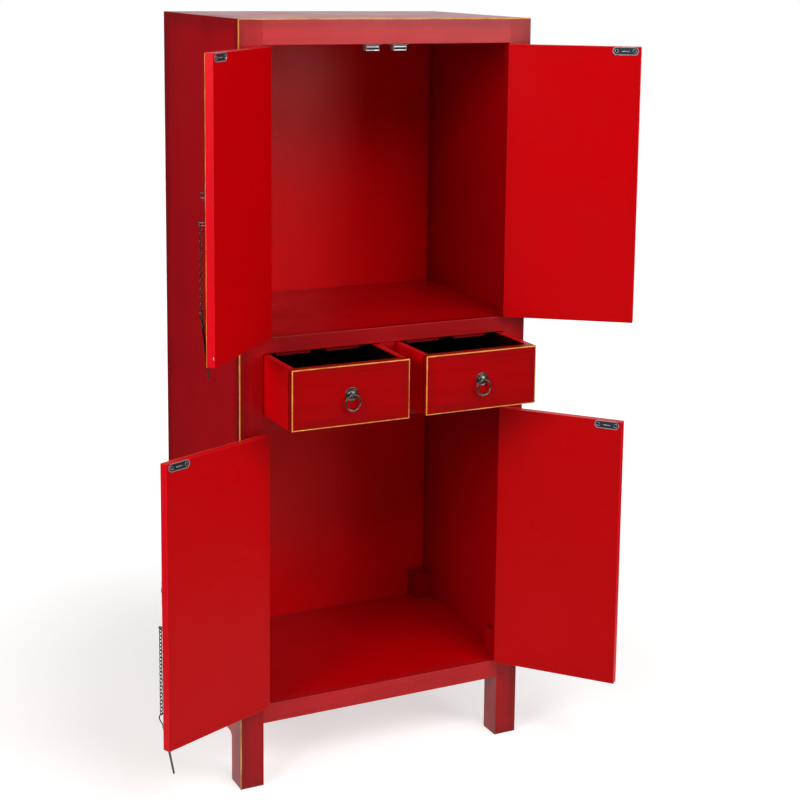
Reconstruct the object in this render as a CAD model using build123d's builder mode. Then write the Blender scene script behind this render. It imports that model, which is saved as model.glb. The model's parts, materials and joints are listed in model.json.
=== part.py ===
from build123d import *
from math import asin, cos, degrees, radians, sin
import os

# Two-tier lacquered wedding cabinet: a red carcass with a face frame, two pairs of inset doors,
# two drawers between them, ring pulls, magnetic catches and pin-and-chain door locks.
# Frame: origin on the floor at the centre of the footprint, +X to the right, +Y to the back, +Z up.
# The doors and drawers are modelled part open: joint value 0 is this pose. Millimetres.

# ---- carcass ----
HEIGHT = 1600.0
WIDTH = 658.0
DEPTH = 454.0
FRAME_DEPTH = 20.0  # face frame boards, front to back
STILE_WIDTH = 51.0
HEAD_RAIL_HEIGHT = 52.0
MID_RAIL_HEIGHT = 33.5
DRAWER_RAIL_HEIGHT = 33.5
BOTTOM_RAIL_HEIGHT = 41.0
DIVIDER_WIDTH = 36.0
FLOOR_CLEARANCE = 138.0  # floor to the underside of the bottom rail
LOWER_OPENING_HEIGHT = 589.5
DRAWER_OPENING_HEIGHT = 126.5
SIDE_THICKNESS = 10.0
BACK_THICKNESS = 5.0
TOP_THICKNESS = 16.0
SHELF_THICKNESS = 12.0
LEG_DEPTH = 53.0
SIDE_SKIRT_HEIGHT = 107.0  # floor to the lower edge of a side panel between its feet
SKIRT_CORNER_RADIUS = 12.0
LEG_BLOCK_HEIGHT = 240.0
EDGE_RADIUS = 1.5
FOOT_EDGE_RADIUS = 3.0

# ---- doors ----
UPPER_LEFT_OPEN = 134.2  # degrees from closed in the modelled pose
LOWER_LEFT_OPEN = 157.0
UPPER_RIGHT_OPEN = 143.5
LOWER_RIGHT_OPEN = 129.8
DOOR_THICKNESS = 17.5
DOOR_EDGE_RADIUS = 1.2
HINGE_EDGE_GAP = 1.0
MEETING_GAP = 1.4
DOOR_BOTTOM_GAP = 1.5
UPPER_DOOR_TOP_GAP = 1.5
LOWER_DOOR_TOP_GAP = 5.5

# ---- surface hinges ----
LEAF_THICKNESS = 1.0
LEAF_HEIGHT = 40.0
LEAF_WIDTH = 22.0
LEAF_CORNER_RADIUS = 2.75
KNUCKLE_RADIUS = 2.4
KNUCKLE_GAP = 0.3
HINGE_PIN_RADIUS = 1.0
PIN_RUNNING_CLEARANCE = 0.05
PIN_HEAD_RADIUS = 1.7
PIN_HEAD_HEIGHT = 1.5
HINGE_INSET = 75.0  # door end to the middle of the hinge
LEAF_SCREW_SPREAD = 13.0
LEAF_SCREW_STAGGER = 4.0

# ---- countersunk screws ----
SCREW_RADIUS = 1.1
SCREW_HEAD_RADIUS = 2.2
SCREW_LENGTH = 9.0
SCREW_SLOT_WIDTH = 0.6
SCREW_SLOT_DEPTH = 0.5

# ---- magnetic catches and strike plates ----
STRIKE_LENGTH = 54.0
STRIKE_HEIGHT = 17.0
STRIKE_THICKNESS = 1.0
STRIKE_EDGE_INSET = 5.5
STRIKE_TOP_INSET = 0.5
STRIKE_SCREW_SPACING = 37.4
CATCH_OFFSET = 31.0  # cabinet centre to the middle of a catch
CATCH_BODY_LENGTH = 31.0
CATCH_BODY_HEIGHT = 14.0
CATCH_BODY_DEPTH = 13.0
CATCH_LENGTH = 45.0
CATCH_WING_HEIGHT = 2.5
CATCH_SCREW_SPACING = 38.0
CATCH_GAP = 0.4
POLE_PLATE_HEIGHT = 9.0
POLE_PLATE_THICKNESS = 1.2
POLE_PLATE_INSET = 1.5
CLEAT_LENGTH = 130.0
CLEAT_DEPTH = 26.0
CLEAT_HEIGHT = 21.0

# ---- locks: half-round plate, staple, chain eye, chain and pin ----
LOCK_HEIGHT = 29.5  # middle of the door up to the middle of the lock staple
LOCK_PLATE_RADIUS = 25.0
LOCK_PLATE_THICKNESS = 1.0
LOCK_PLATE_INSET = 1.0
LOCK_PLATE_SCREW_RADIUS = 19.0
LOCK_STAPLE_INSET = 13.5  # free edge of the door to the staples
STAPLE_WIRE_RADIUS = 1.25
STAPLE_HEIGHT = 12.0
STAPLE_REACH = 15.0
STAPLE_BEND = 2.6
STAPLE_LEG_IN_DOOR = 9.0
STAPLE_HOLE_CLEARANCE = 0.1  # round the staple's legs in the lock plate
UPPER_CHAIN_DROP = 25.5  # middle of the door down to the lower leg of the chain eye
LOWER_CHAIN_DROP = 48.0
CHAIN_EYE_INSET = 7.5  # free edge of the door to the chain eye
CHAIN_EYE_HEIGHT = 7.5
CHAIN_EYE_REACH = 17.0
CHAIN_STANDOFF = 13.0
UPPER_CHAIN_LINKS = 22
LOWER_CHAIN_LINKS = 24
LINK_LENGTH = 10.9
LINK_WIDTH = 7.2
LINK_WIRE_RADIUS = 0.85
LINK_GAP = 0.1
PIN_LOOP_GAP = 0.35
LOCK_PIN_LENGTH = 143.0
PIN_WIRE_RADIUS = 1.2
PIN_LOOP_HEIGHT = 30.0
PIN_LOOP_RADIUS = 6.5
PIN_COLLAR_RADIUS = 3.2
PIN_COLLAR_HEIGHT = 9.0
PIN_LEG_SPREAD = 1.9
PIN_TIP_SPREAD = 0.9
PIN_LEAN = 13.0  # degrees off plumb, its point towards the hinges

# ---- drawers ----
LEFT_DRAWER_OPEN = 147.0
RIGHT_DRAWER_OPEN = 143.0
DRAWER_SIDE_GAP = 2.0
DRAWER_BOTTOM_GAP = 1.5
DRAWER_TOP_GAP = 2.0
DRAWER_FRONT_THICKNESS = 19.5
DRAWER_SIDE_THICKNESS = 12.5
DRAWER_LENGTH = 400.0
DRAWER_RUNNING_GAP = 0.3
DRAWER_BACK_CLEARANCE = 4.0  # back of the drawer box under the stops
DRAWER_BASE_THICKNESS = 4.0
DRAWER_BASE_RISE = 8.0
STOP_LENGTH = 75.0
STOP_SPACING = 36.0
STOP_DROP = 10.5
STOP_DEPTH = 12.0
GUIDE_WIDTH = 10.0
GUIDE_HEIGHT = 18.0
GUIDE_BACK_GAP = 20.0

# ---- ring pulls ----
PULL_HEIGHT = 2.5  # above the middle of the drawer front
PULL_PLATE_RADIUS = 14.0
PULL_RIM_HEIGHT = 1.4
PULL_STEP_RADIUS = 10.5
PULL_STEP_HEIGHT = 3.0
PULL_DOME_RADIUS = 8.5
PULL_DOME_HEIGHT = 5.6
PULL_EYE_RADIUS = 3.4
PULL_EYE_THICKNESS = 3.2
PULL_REACH = 9.2  # drawer front to the middle of the ring's wire
PULL_BOLT_RADIUS = 1.6
RING_RADIUS = 16.0
RING_WIRE_RADIUS = 1.5
RING_EYE_CLEARANCE = 0.35
RING_BEAD_RADIUS = 2.5

# ---- back panel fixings ----
BACK_SCREW_COLUMNS = 4
BACK_SCREW_INSET = 60.0

# ---- places that follow from the sizes ----
LEFT = -WIDTH / 2
RIGHT = WIDTH / 2
FRONT = -DEPTH / 2
BACK = DEPTH / 2
FRAME_BACK = FRONT + FRAME_DEPTH
INNER_LEFT = LEFT + SIDE_THICKNESS
INNER_RIGHT = RIGHT - SIDE_THICKNESS
INNER_BACK = BACK - BACK_THICKNESS
OPENING_LEFT = LEFT + STILE_WIDTH
OPENING_RIGHT = RIGHT - STILE_WIDTH
BOTTOM_RAIL_TOP = FLOOR_CLEARANCE + BOTTOM_RAIL_HEIGHT
DRAWER_RAIL_BASE = BOTTOM_RAIL_TOP + LOWER_OPENING_HEIGHT
DRAWER_RAIL_TOP = DRAWER_RAIL_BASE + DRAWER_RAIL_HEIGHT
MID_RAIL_BASE = DRAWER_RAIL_TOP + DRAWER_OPENING_HEIGHT
MID_RAIL_TOP = MID_RAIL_BASE + MID_RAIL_HEIGHT
HEAD_RAIL_BASE = HEIGHT - HEAD_RAIL_HEIGHT
HINGE_Y = FRONT - LEAF_THICKNESS
DOOR_WIDTH = (OPENING_RIGHT - OPENING_LEFT - 2 * HINGE_EDGE_GAP - MEETING_GAP) / 2
DOOR_START = HINGE_EDGE_GAP / 2  # hinge axis to the door's hinge edge
DOOR_END = DOOR_START + DOOR_WIDTH
DOOR_INNER_FACE = LEAF_THICKNESS + DOOR_THICKNESS  # depth behind the hinge axis
CATCH_FRONT = FRONT + DOOR_THICKNESS + STRIKE_THICKNESS + CATCH_GAP
LINK_PITCH = LINK_LENGTH - 4 * LINK_WIRE_RADIUS - LINK_GAP
UPPER_DOOR_BASE = MID_RAIL_TOP + DOOR_BOTTOM_GAP
UPPER_DOOR_TOP = HEAD_RAIL_BASE - UPPER_DOOR_TOP_GAP
LOWER_DOOR_BASE = BOTTOM_RAIL_TOP + DOOR_BOTTOM_GAP
LOWER_DOOR_TOP = DRAWER_RAIL_BASE - LOWER_DOOR_TOP_GAP
LEFT_SIDE = -1
RIGHT_SIDE = 1

os.makedirs("parts", exist_ok=True)


def save(piece, node):
    """Label a finished piece and write it to its own STEP file."""
    piece.part.label = node
    export_step(piece.part, f"parts/{node}.step")


def board(x, y, z):
    """A board between a low and a high value along each axis."""
    with BuildPart() as piece:
        with BuildSketch(Plane.XY.offset(z[0])):
            with Locations(((x[0] + x[1]) / 2, (y[0] + y[1]) / 2)):
                Rectangle(x[1] - x[0], y[1] - y[0])
        extrude(amount=z[1] - z[0])
    return piece


def sink_screws(spots):
    """Cut the countersunk holes for the screws at these spots; each spot's z points out of the face."""
    with Locations(*spots):
        CounterSinkHole(SCREW_RADIUS, SCREW_HEAD_RADIUS, depth=SCREW_LENGTH, counter_sink_angle=90)


def screws(spots):
    """Slotted countersunk screws, one at each spot, with the head flush with the face."""
    cone_depth = SCREW_HEAD_RADIUS - SCREW_RADIUS
    with BuildPart() as screw:
        with BuildSketch(Plane.XZ):
            with BuildLine():
                Polyline((0, 0), (SCREW_HEAD_RADIUS, 0), (SCREW_RADIUS, -cone_depth),
                         (SCREW_RADIUS, -SCREW_LENGTH), (0, -SCREW_LENGTH), close=True)
            make_face()
        revolve(axis=Axis.Z)
        Box(2 * SCREW_HEAD_RADIUS, SCREW_SLOT_WIDTH, 2 * SCREW_SLOT_DEPTH, mode=Mode.SUBTRACT)
    with BuildPart() as group:
        with Locations(*spots):
            add(screw.part)
    return group


# ======== doors: places ========
def door_along(side, opened):
    """Unit vector from the hinge axis along a door that stands open by this many degrees."""
    return Vector(-side * cos(radians(opened)), -sin(radians(opened)), 0)


def door_outward(side, opened):
    """Unit vector out of a door's outer face."""
    return Vector(side * sin(radians(opened)), -cos(radians(opened)), 0)


def door_point(side, opened, along, depth, height):
    """A point on a door: along it from the hinge axis, behind the axis, and above the floor."""
    axis = Vector(side * (OPENING_RIGHT - DOOR_START), HINGE_Y, height)
    return axis + door_along(side, opened) * along - door_outward(side, opened) * depth


def face_plane(side, opened, along, depth, height, inner=False):
    """A plane on a door's face: x up, z out of that face."""
    normal = door_outward(side, opened) * (-1 if inner else 1)
    return Plane(origin=door_point(side, opened, along, depth, height), x_dir=(0, 0, 1), z_dir=normal)


def hinge_heights(base, top):
    """Middles of a door's two hinges."""
    return (base + HINGE_INSET, top - HINGE_INSET)


def leaf_screw_offsets():
    """Places of a leaf's screws: distance from the hinge axis, height from its middle."""
    reach = (KNUCKLE_RADIUS + LEAF_WIDTH) / 2
    return ((reach, -LEAF_SCREW_SPREAD), (reach + LEAF_SCREW_STAGGER, 0), (reach, LEAF_SCREW_SPREAD))


def knuckle_spans():
    """Low and high ends of the lower, middle and upper knuckle, from the leaf's middle."""
    third = LEAF_HEIGHT / 3
    low = (-LEAF_HEIGHT / 2, -third / 2 - KNUCKLE_GAP / 2)
    middle = (-third / 2 + KNUCKLE_GAP / 2, third / 2 - KNUCKLE_GAP / 2)
    high = (third / 2 + KNUCKLE_GAP / 2, LEAF_HEIGHT / 2)
    return low, middle, high


def hinge_leaf(spans, bore, place):
    """A hinge leaf with these knuckle heights and this bore.

    In its own frame the knuckle axis is z, the plate runs along +x and its back meets the wood at +y.
    """
    plate_start = KNUCKLE_RADIUS + KNUCKLE_GAP
    with BuildPart() as leaf:
        with BuildSketch(Plane.XY.offset(-LEAF_HEIGHT / 2)):
            with Locations(((plate_start + LEAF_WIDTH) / 2, LEAF_THICKNESS / 2)):
                Rectangle(LEAF_WIDTH - plate_start, LEAF_THICKNESS)
        extrude(amount=LEAF_HEIGHT)
        for low, high in spans:
            with BuildSketch(Plane.XY.offset(low)):
                with Locations((plate_start / 2, LEAF_THICKNESS / 2)):
                    Rectangle(plate_start, LEAF_THICKNESS)
                Circle(KNUCKLE_RADIUS)
                Circle(bore, mode=Mode.SUBTRACT)
            extrude(amount=high - low)
        corners = leaf.edges().filter_by(Axis.Y).group_by(Axis.X)[-1]
        fillet(corners, LEAF_CORNER_RADIUS)
        sink_screws([Plane(origin=(reach, 0, height), x_dir=(0, 0, 1), z_dir=(0, -1, 0)).location
                     for reach, height in leaf_screw_offsets()])
    with BuildPart() as placed:
        with Locations(place):
            add(leaf.part)
    return placed


def door_hinge_spots(side, opened, base, top):
    """Screw places on a door's outer face, at the surface of its hinge leaves."""
    return [face_plane(side, opened, reach, 0, middle + height).location
            for middle in hinge_heights(base, top) for reach, height in leaf_screw_offsets()]


def frame_hinge_spots(side, base, top):
    """Screw places on a stile, at the surface of the frame leaves."""
    axis_x = side * (OPENING_RIGHT - DOOR_START)
    return [Plane(origin=(axis_x + side * reach, HINGE_Y, middle + height), x_dir=(0, 0, 1),
                  z_dir=(0, -1, 0)).location
            for middle in hinge_heights(base, top) for reach, height in leaf_screw_offsets()]


DOORS = {
    "upper_left": (LEFT_SIDE, UPPER_LEFT_OPEN, UPPER_DOOR_BASE, UPPER_DOOR_TOP),
    "lower_left": (LEFT_SIDE, LOWER_LEFT_OPEN, LOWER_DOOR_BASE, LOWER_DOOR_TOP),
    "upper_right": (RIGHT_SIDE, UPPER_RIGHT_OPEN, UPPER_DOOR_BASE, UPPER_DOOR_TOP),
    "lower_right": (RIGHT_SIDE, LOWER_RIGHT_OPEN, LOWER_DOOR_BASE, LOWER_DOOR_TOP),
}


def cut_knuckle_grooves(side):
    """Cut the grooves that clear the hinge knuckles and pin heads, along the hinge axis."""
    groove_height = LEAF_HEIGHT + 2 * PIN_HEAD_HEIGHT + 2 * KNUCKLE_GAP
    for door_side, _, base, top in DOORS.values():
        if door_side == side:
            for middle in hinge_heights(base, top):
                with Locations((side * (OPENING_RIGHT - DOOR_START), HINGE_Y, middle)):
                    Cylinder(KNUCKLE_RADIUS + KNUCKLE_GAP, groove_height, mode=Mode.SUBTRACT)


# ======== face frame ========
for name, side, x_span in (
    ("left_front_stile", LEFT_SIDE, (LEFT, OPENING_LEFT)),
    ("right_front_stile", RIGHT_SIDE, (OPENING_RIGHT, RIGHT)),
):
    with BuildPart() as stile:
        with BuildSketch(Plane.XY):
            with Locations((sum(x_span) / 2, (FRONT + FRAME_BACK) / 2)):
                Rectangle(STILE_WIDTH, FRAME_DEPTH)
        extrude(amount=HEIGHT)
        outer = stile.edges().filter_by(Axis.Z).group_by(Axis.Y)[0].sort_by(Axis.X)
        top_edges = stile.faces().sort_by(Axis.Z)[-1].edges()
        top_front = top_edges.filter_by(Axis.X).sort_by(Axis.Y)[0]
        top_side = top_edges.filter_by(Axis.Y).sort_by(Axis.X)[0 if side == LEFT_SIDE else -1]
        fillet([outer[0 if side == LEFT_SIDE else -1], top_front, top_side], EDGE_RADIUS)
        foot_edges = stile.faces().sort_by(Axis.Z)[0].edges().sort_by(Axis.Y)[:-1]
        fillet([edge for edge in foot_edges if side * edge.center().X > OPENING_RIGHT + EDGE_RADIUS],
               FOOT_EDGE_RADIUS)
        cut_knuckle_grooves(side)
        for door_side, _, base, top in DOORS.values():
            if door_side == side:
                sink_screws(frame_hinge_spots(side, base, top))
    save(stile, name)

for name, z_span in (
    ("head_rail", (HEAD_RAIL_BASE, HEIGHT)),
    ("mid_rail", (MID_RAIL_BASE, MID_RAIL_TOP)),
    ("drawer_rail", (DRAWER_RAIL_BASE, DRAWER_RAIL_TOP)),
    ("bottom_rail", (FLOOR_CLEARANCE, BOTTOM_RAIL_TOP)),
):
    rail = board((OPENING_LEFT, OPENING_RIGHT), (FRONT, FRAME_BACK), z_span)
    with rail:
        fillet(rail.edges().filter_by(Axis.X).group_by(Axis.Y)[0], EDGE_RADIUS)
    save(rail, name)

divider = board((-DIVIDER_WIDTH / 2, DIVIDER_WIDTH / 2), (FRONT, FRAME_BACK), (DRAWER_RAIL_TOP, MID_RAIL_BASE))
with divider:
    fillet(divider.edges().filter_by(Axis.Z).group_by(Axis.Y)[0], EDGE_RADIUS)
save(divider, "drawer_divider")

# ======== side panels: full height, with a foot at the front and the back ========
for name, side, outer_x in (("left_side_panel", LEFT_SIDE, LEFT), ("right_side_panel", RIGHT_SIDE, RIGHT)):
    with BuildPart() as side_panel:
        with BuildSketch(Plane.YZ.offset(outer_x)):
            with Locations(((FRAME_BACK + BACK) / 2, HEIGHT / 2)):
                Rectangle(BACK - FRAME_BACK, HEIGHT)
            with Locations((0, SIDE_SKIRT_HEIGHT / 2)):
                skirt = Rectangle(DEPTH - 2 * LEG_DEPTH, SIDE_SKIRT_HEIGHT, mode=Mode.SUBTRACT)
        extrude(amount=-side * SIDE_THICKNESS)
        skirt_corners = [edge for edge in side_panel.edges().filter_by(Axis.X)
                         if abs(edge.center().Z - SIDE_SKIRT_HEIGHT) < EDGE_RADIUS]
        fillet(skirt_corners, SKIRT_CORNER_RADIUS)
        top_edges = side_panel.faces().sort_by(Axis.Z)[-1].edges().filter_by(Axis.Y).sort_by(Axis.X)
        fillet(top_edges[0 if side == LEFT_SIDE else -1], EDGE_RADIUS)
        foot_edges = [edge for edge in side_panel.edges().filter_by(Axis.Y)
                      if edge.center().Z < EDGE_RADIUS and abs(edge.center().X - outer_x) < EDGE_RADIUS]
        fillet(foot_edges, FOOT_EDGE_RADIUS)
    save(side_panel, name)

# ======== top, floors and back ========
BACK_SCREW_PITCH = (INNER_RIGHT - INNER_LEFT - 2 * BACK_SCREW_INSET) / (BACK_SCREW_COLUMNS - 1)
FLOOR_TOPS = {"upper_floor": MID_RAIL_TOP, "drawer_bay_floor": DRAWER_RAIL_TOP, "bottom_board": BOTTOM_RAIL_TOP}


def back_screw_spots(floor_top):
    """Screw places on the back panel, along the rear edge of the floor with this upper face."""
    return [Plane(origin=(INNER_LEFT + BACK_SCREW_INSET + column * BACK_SCREW_PITCH, BACK,
                          floor_top - SHELF_THICKNESS / 2), x_dir=(1, 0, 0), z_dir=(0, 1, 0)).location
            for column in range(BACK_SCREW_COLUMNS)]


save(board((INNER_LEFT, INNER_RIGHT), (FRAME_BACK, BACK), (HEIGHT - TOP_THICKNESS, HEIGHT)), "top_panel")

for name, floor_top in FLOOR_TOPS.items():
    floor_panel = board((INNER_LEFT, INNER_RIGHT), (FRAME_BACK, INNER_BACK),
                        (floor_top - SHELF_THICKNESS, floor_top))
    with floor_panel:
        sink_screws(back_screw_spots(floor_top))
        if name == "bottom_board":
            # notched round the four leg blocks
            for side in (LEFT_SIDE, RIGHT_SIDE):
                block_x = side * (INNER_RIGHT + OPENING_RIGHT) / 2
                with Locations((block_x, (FRAME_BACK + FRONT + LEG_DEPTH) / 2, floor_top)):
                    Box(INNER_RIGHT - OPENING_RIGHT, LEG_DEPTH - FRAME_DEPTH, 3 * SHELF_THICKNESS,
                        mode=Mode.SUBTRACT)
                with Locations((block_x, (BACK - LEG_DEPTH + INNER_BACK) / 2, floor_top)):
                    Box(INNER_RIGHT - OPENING_RIGHT, LEG_DEPTH - BACK_THICKNESS, 3 * SHELF_THICKNESS,
                        mode=Mode.SUBTRACT)
    save(floor_panel, name)

back_panel = board((INNER_LEFT, INNER_RIGHT), (INNER_BACK, BACK), (FLOOR_CLEARANCE, HEIGHT - TOP_THICKNESS))
with back_panel:
    for floor_top in FLOOR_TOPS.values():
        sink_screws(back_screw_spots(floor_top))
save(back_panel, "back_panel")
save(screws([spot for floor_top in FLOOR_TOPS.values() for spot in back_screw_spots(floor_top)]),
     "back_panel_screws")

# ======== leg blocks inside the feet ========
with BuildPart() as leg_blocks:
    for side in (LEFT_SIDE, RIGHT_SIDE):
        with BuildSketch(Plane.XY):
            with Locations((side * (INNER_RIGHT + OPENING_RIGHT) / 2, (FRAME_BACK + FRONT + LEG_DEPTH) / 2)):
                Rectangle(INNER_RIGHT - OPENING_RIGHT, LEG_DEPTH - FRAME_DEPTH)
            with Locations((side * (INNER_RIGHT + OPENING_RIGHT) / 2, (BACK - LEG_DEPTH + INNER_BACK) / 2)):
                Rectangle(INNER_RIGHT - OPENING_RIGHT, LEG_DEPTH - BACK_THICKNESS)
        extrude(amount=LEG_BLOCK_HEIGHT)
save(leg_blocks, "leg_blocks")

# ======== drawer guides on the bay floor, and stops behind the mid rail ========
DRAWER_CENTRE = (OPENING_RIGHT + DIVIDER_WIDTH / 2) / 2
GUIDE_CENTRES = (DIVIDER_WIDTH / 2 - GUIDE_WIDTH / 2, OPENING_RIGHT + GUIDE_WIDTH / 2)

with BuildPart() as drawer_guides:
    with BuildSketch(Plane.XY.offset(DRAWER_RAIL_TOP)):
        with Locations(*[(side * centre, (FRAME_BACK + INNER_BACK - GUIDE_BACK_GAP) / 2)
                         for side in (LEFT_SIDE, RIGHT_SIDE) for centre in GUIDE_CENTRES]):
            Rectangle(GUIDE_WIDTH, INNER_BACK - GUIDE_BACK_GAP - FRAME_BACK)
    extrude(amount=GUIDE_HEIGHT)
save(drawer_guides, "drawer_guides")

stop_base = MID_RAIL_BASE - STOP_DROP
with BuildPart() as drawer_stops:
    with BuildSketch(Plane.XY.offset(stop_base)):
        with Locations(*[(side * DRAWER_CENTRE + half * (STOP_SPACING + STOP_LENGTH) / 2,
                          FRAME_BACK + STOP_DEPTH / 2)
                         for side in (LEFT_SIDE, RIGHT_SIDE) for half in (-1, 1)]):
            Rectangle(STOP_LENGTH, STOP_DEPTH)
    extrude(amount=MID_RAIL_TOP - SHELF_THICKNESS - stop_base)
save(drawer_stops, "drawer_stops")

# ======== magnetic catches under two cleats behind the head rail and the drawer rail ========
CATCH_CEILINGS = (HEAD_RAIL_BASE, DRAWER_RAIL_BASE)
CATCH_PLACES = [(side * CATCH_OFFSET, ceiling) for ceiling in CATCH_CEILINGS
                for side in (LEFT_SIDE, RIGHT_SIDE)]
catch_middle_y = CATCH_FRONT + CATCH_BODY_DEPTH / 2
catch_screw_spots = [
    Plane(origin=(x + end * CATCH_SCREW_SPACING / 2, catch_middle_y, ceiling - CATCH_WING_HEIGHT),
          x_dir=(1, 0, 0), z_dir=(0, 0, -1)).location
    for x, ceiling in CATCH_PLACES for end in (-1, 1)
]

with BuildPart() as catch_cleats:
    for ceiling in CATCH_CEILINGS:
        with BuildSketch(Plane.XY.offset(ceiling)):
            with Locations((0, FRAME_BACK + CLEAT_DEPTH / 2)):
                Rectangle(CLEAT_LENGTH, CLEAT_DEPTH)
        extrude(amount=CLEAT_HEIGHT)
    sink_screws(catch_screw_spots)
save(catch_cleats, "catch_cleats")

pole_plate_x = CATCH_BODY_LENGTH - 2 * POLE_PLATE_INSET
with BuildPart() as catch_bodies:
    for x, ceiling in CATCH_PLACES:
        with BuildSketch(Plane.XY.offset(ceiling)):
            with Locations((x, catch_middle_y)):
                SlotOverall(CATCH_LENGTH, CATCH_BODY_DEPTH)
        extrude(amount=-CATCH_WING_HEIGHT)
        with BuildSketch(Plane.XY.offset(ceiling)):
            with Locations((x, catch_middle_y)):
                RectangleRounded(CATCH_BODY_LENGTH, CATCH_BODY_DEPTH, EDGE_RADIUS)
        extrude(amount=-CATCH_BODY_HEIGHT)
        # recess for the pole plate in the lower front of the body
        with Locations((x, CATCH_FRONT + POLE_PLATE_THICKNESS / 2,
                        ceiling - CATCH_BODY_HEIGHT + POLE_PLATE_HEIGHT / 2)):
            Box(pole_plate_x, POLE_PLATE_THICKNESS, POLE_PLATE_HEIGHT, mode=Mode.SUBTRACT)
    sink_screws(catch_screw_spots)
save(catch_bodies, "catch_bodies")

with BuildPart() as catch_pole_plates:
    for x, ceiling in CATCH_PLACES:
        with Locations((x, CATCH_FRONT + POLE_PLATE_THICKNESS / 2,
                        ceiling - CATCH_BODY_HEIGHT + POLE_PLATE_HEIGHT / 2)):
            Box(pole_plate_x, POLE_PLATE_THICKNESS, POLE_PLATE_HEIGHT)
save(catch_pole_plates, "catch_pole_plates")

# ======== hinges: frame leaves, pins and the carcass screws ========
low_knuckle, middle_knuckle, high_knuckle = knuckle_spans()

with BuildPart() as hinge_frame_leaves:
    for side, _, base, top in DOORS.values():
        for middle in hinge_heights(base, top):
            place = Plane(origin=(side * (OPENING_RIGHT - DOOR_START), HINGE_Y, middle),
                          x_dir=(side, 0, 0), z_dir=(0, 0, side)).location
            add(hinge_leaf((low_knuckle, high_knuckle), HINGE_PIN_RADIUS, place).part)
save(hinge_frame_leaves, "hinge_frame_leaves")

with BuildPart() as hinge_pins:
    for side, _, base, top in DOORS.values():
        for middle in hinge_heights(base, top):
            with Locations((side * (OPENING_RIGHT - DOOR_START), HINGE_Y, middle)):
                Cylinder(HINGE_PIN_RADIUS, LEAF_HEIGHT)
                for end in (-1, 1):
                    with Locations((0, 0, end * (LEAF_HEIGHT + PIN_HEAD_HEIGHT) / 2)):
                        Cylinder(PIN_HEAD_RADIUS, PIN_HEAD_HEIGHT)
save(hinge_pins, "hinge_pins")

stile_screw_spots = [spot for side, _, base, top in DOORS.values()
                     for spot in frame_hinge_spots(side, base, top)]
save(screws(stile_screw_spots + catch_screw_spots), "cabinet_screws")


# ======== doors ========
def staple(reach, height):
    """A wire staple in its own frame: legs at x = 0 and x = height, standing out along +z."""
    with BuildPart() as wire:
        with BuildLine() as route:
            FilletPolyline((0, 0, -STAPLE_LEG_IN_DOOR), (0, 0, reach), (height, 0, reach),
                           (height, 0, -STAPLE_LEG_IN_DOOR), radius=STAPLE_BEND)
        with BuildSketch(Plane(origin=(0, 0, -STAPLE_LEG_IN_DOOR))):
            Circle(STAPLE_WIRE_RADIUS)
        sweep(path=route.line)
    return wire


STAPLE_SPACING = STAPLE_HEIGHT - 2 * STAPLE_WIRE_RADIUS
EYE_SPACING = CHAIN_EYE_HEIGHT - 2 * STAPLE_WIRE_RADIUS
CHAIN_DROPS = {"upper_left": UPPER_CHAIN_DROP, "lower_left": LOWER_CHAIN_DROP}


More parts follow.
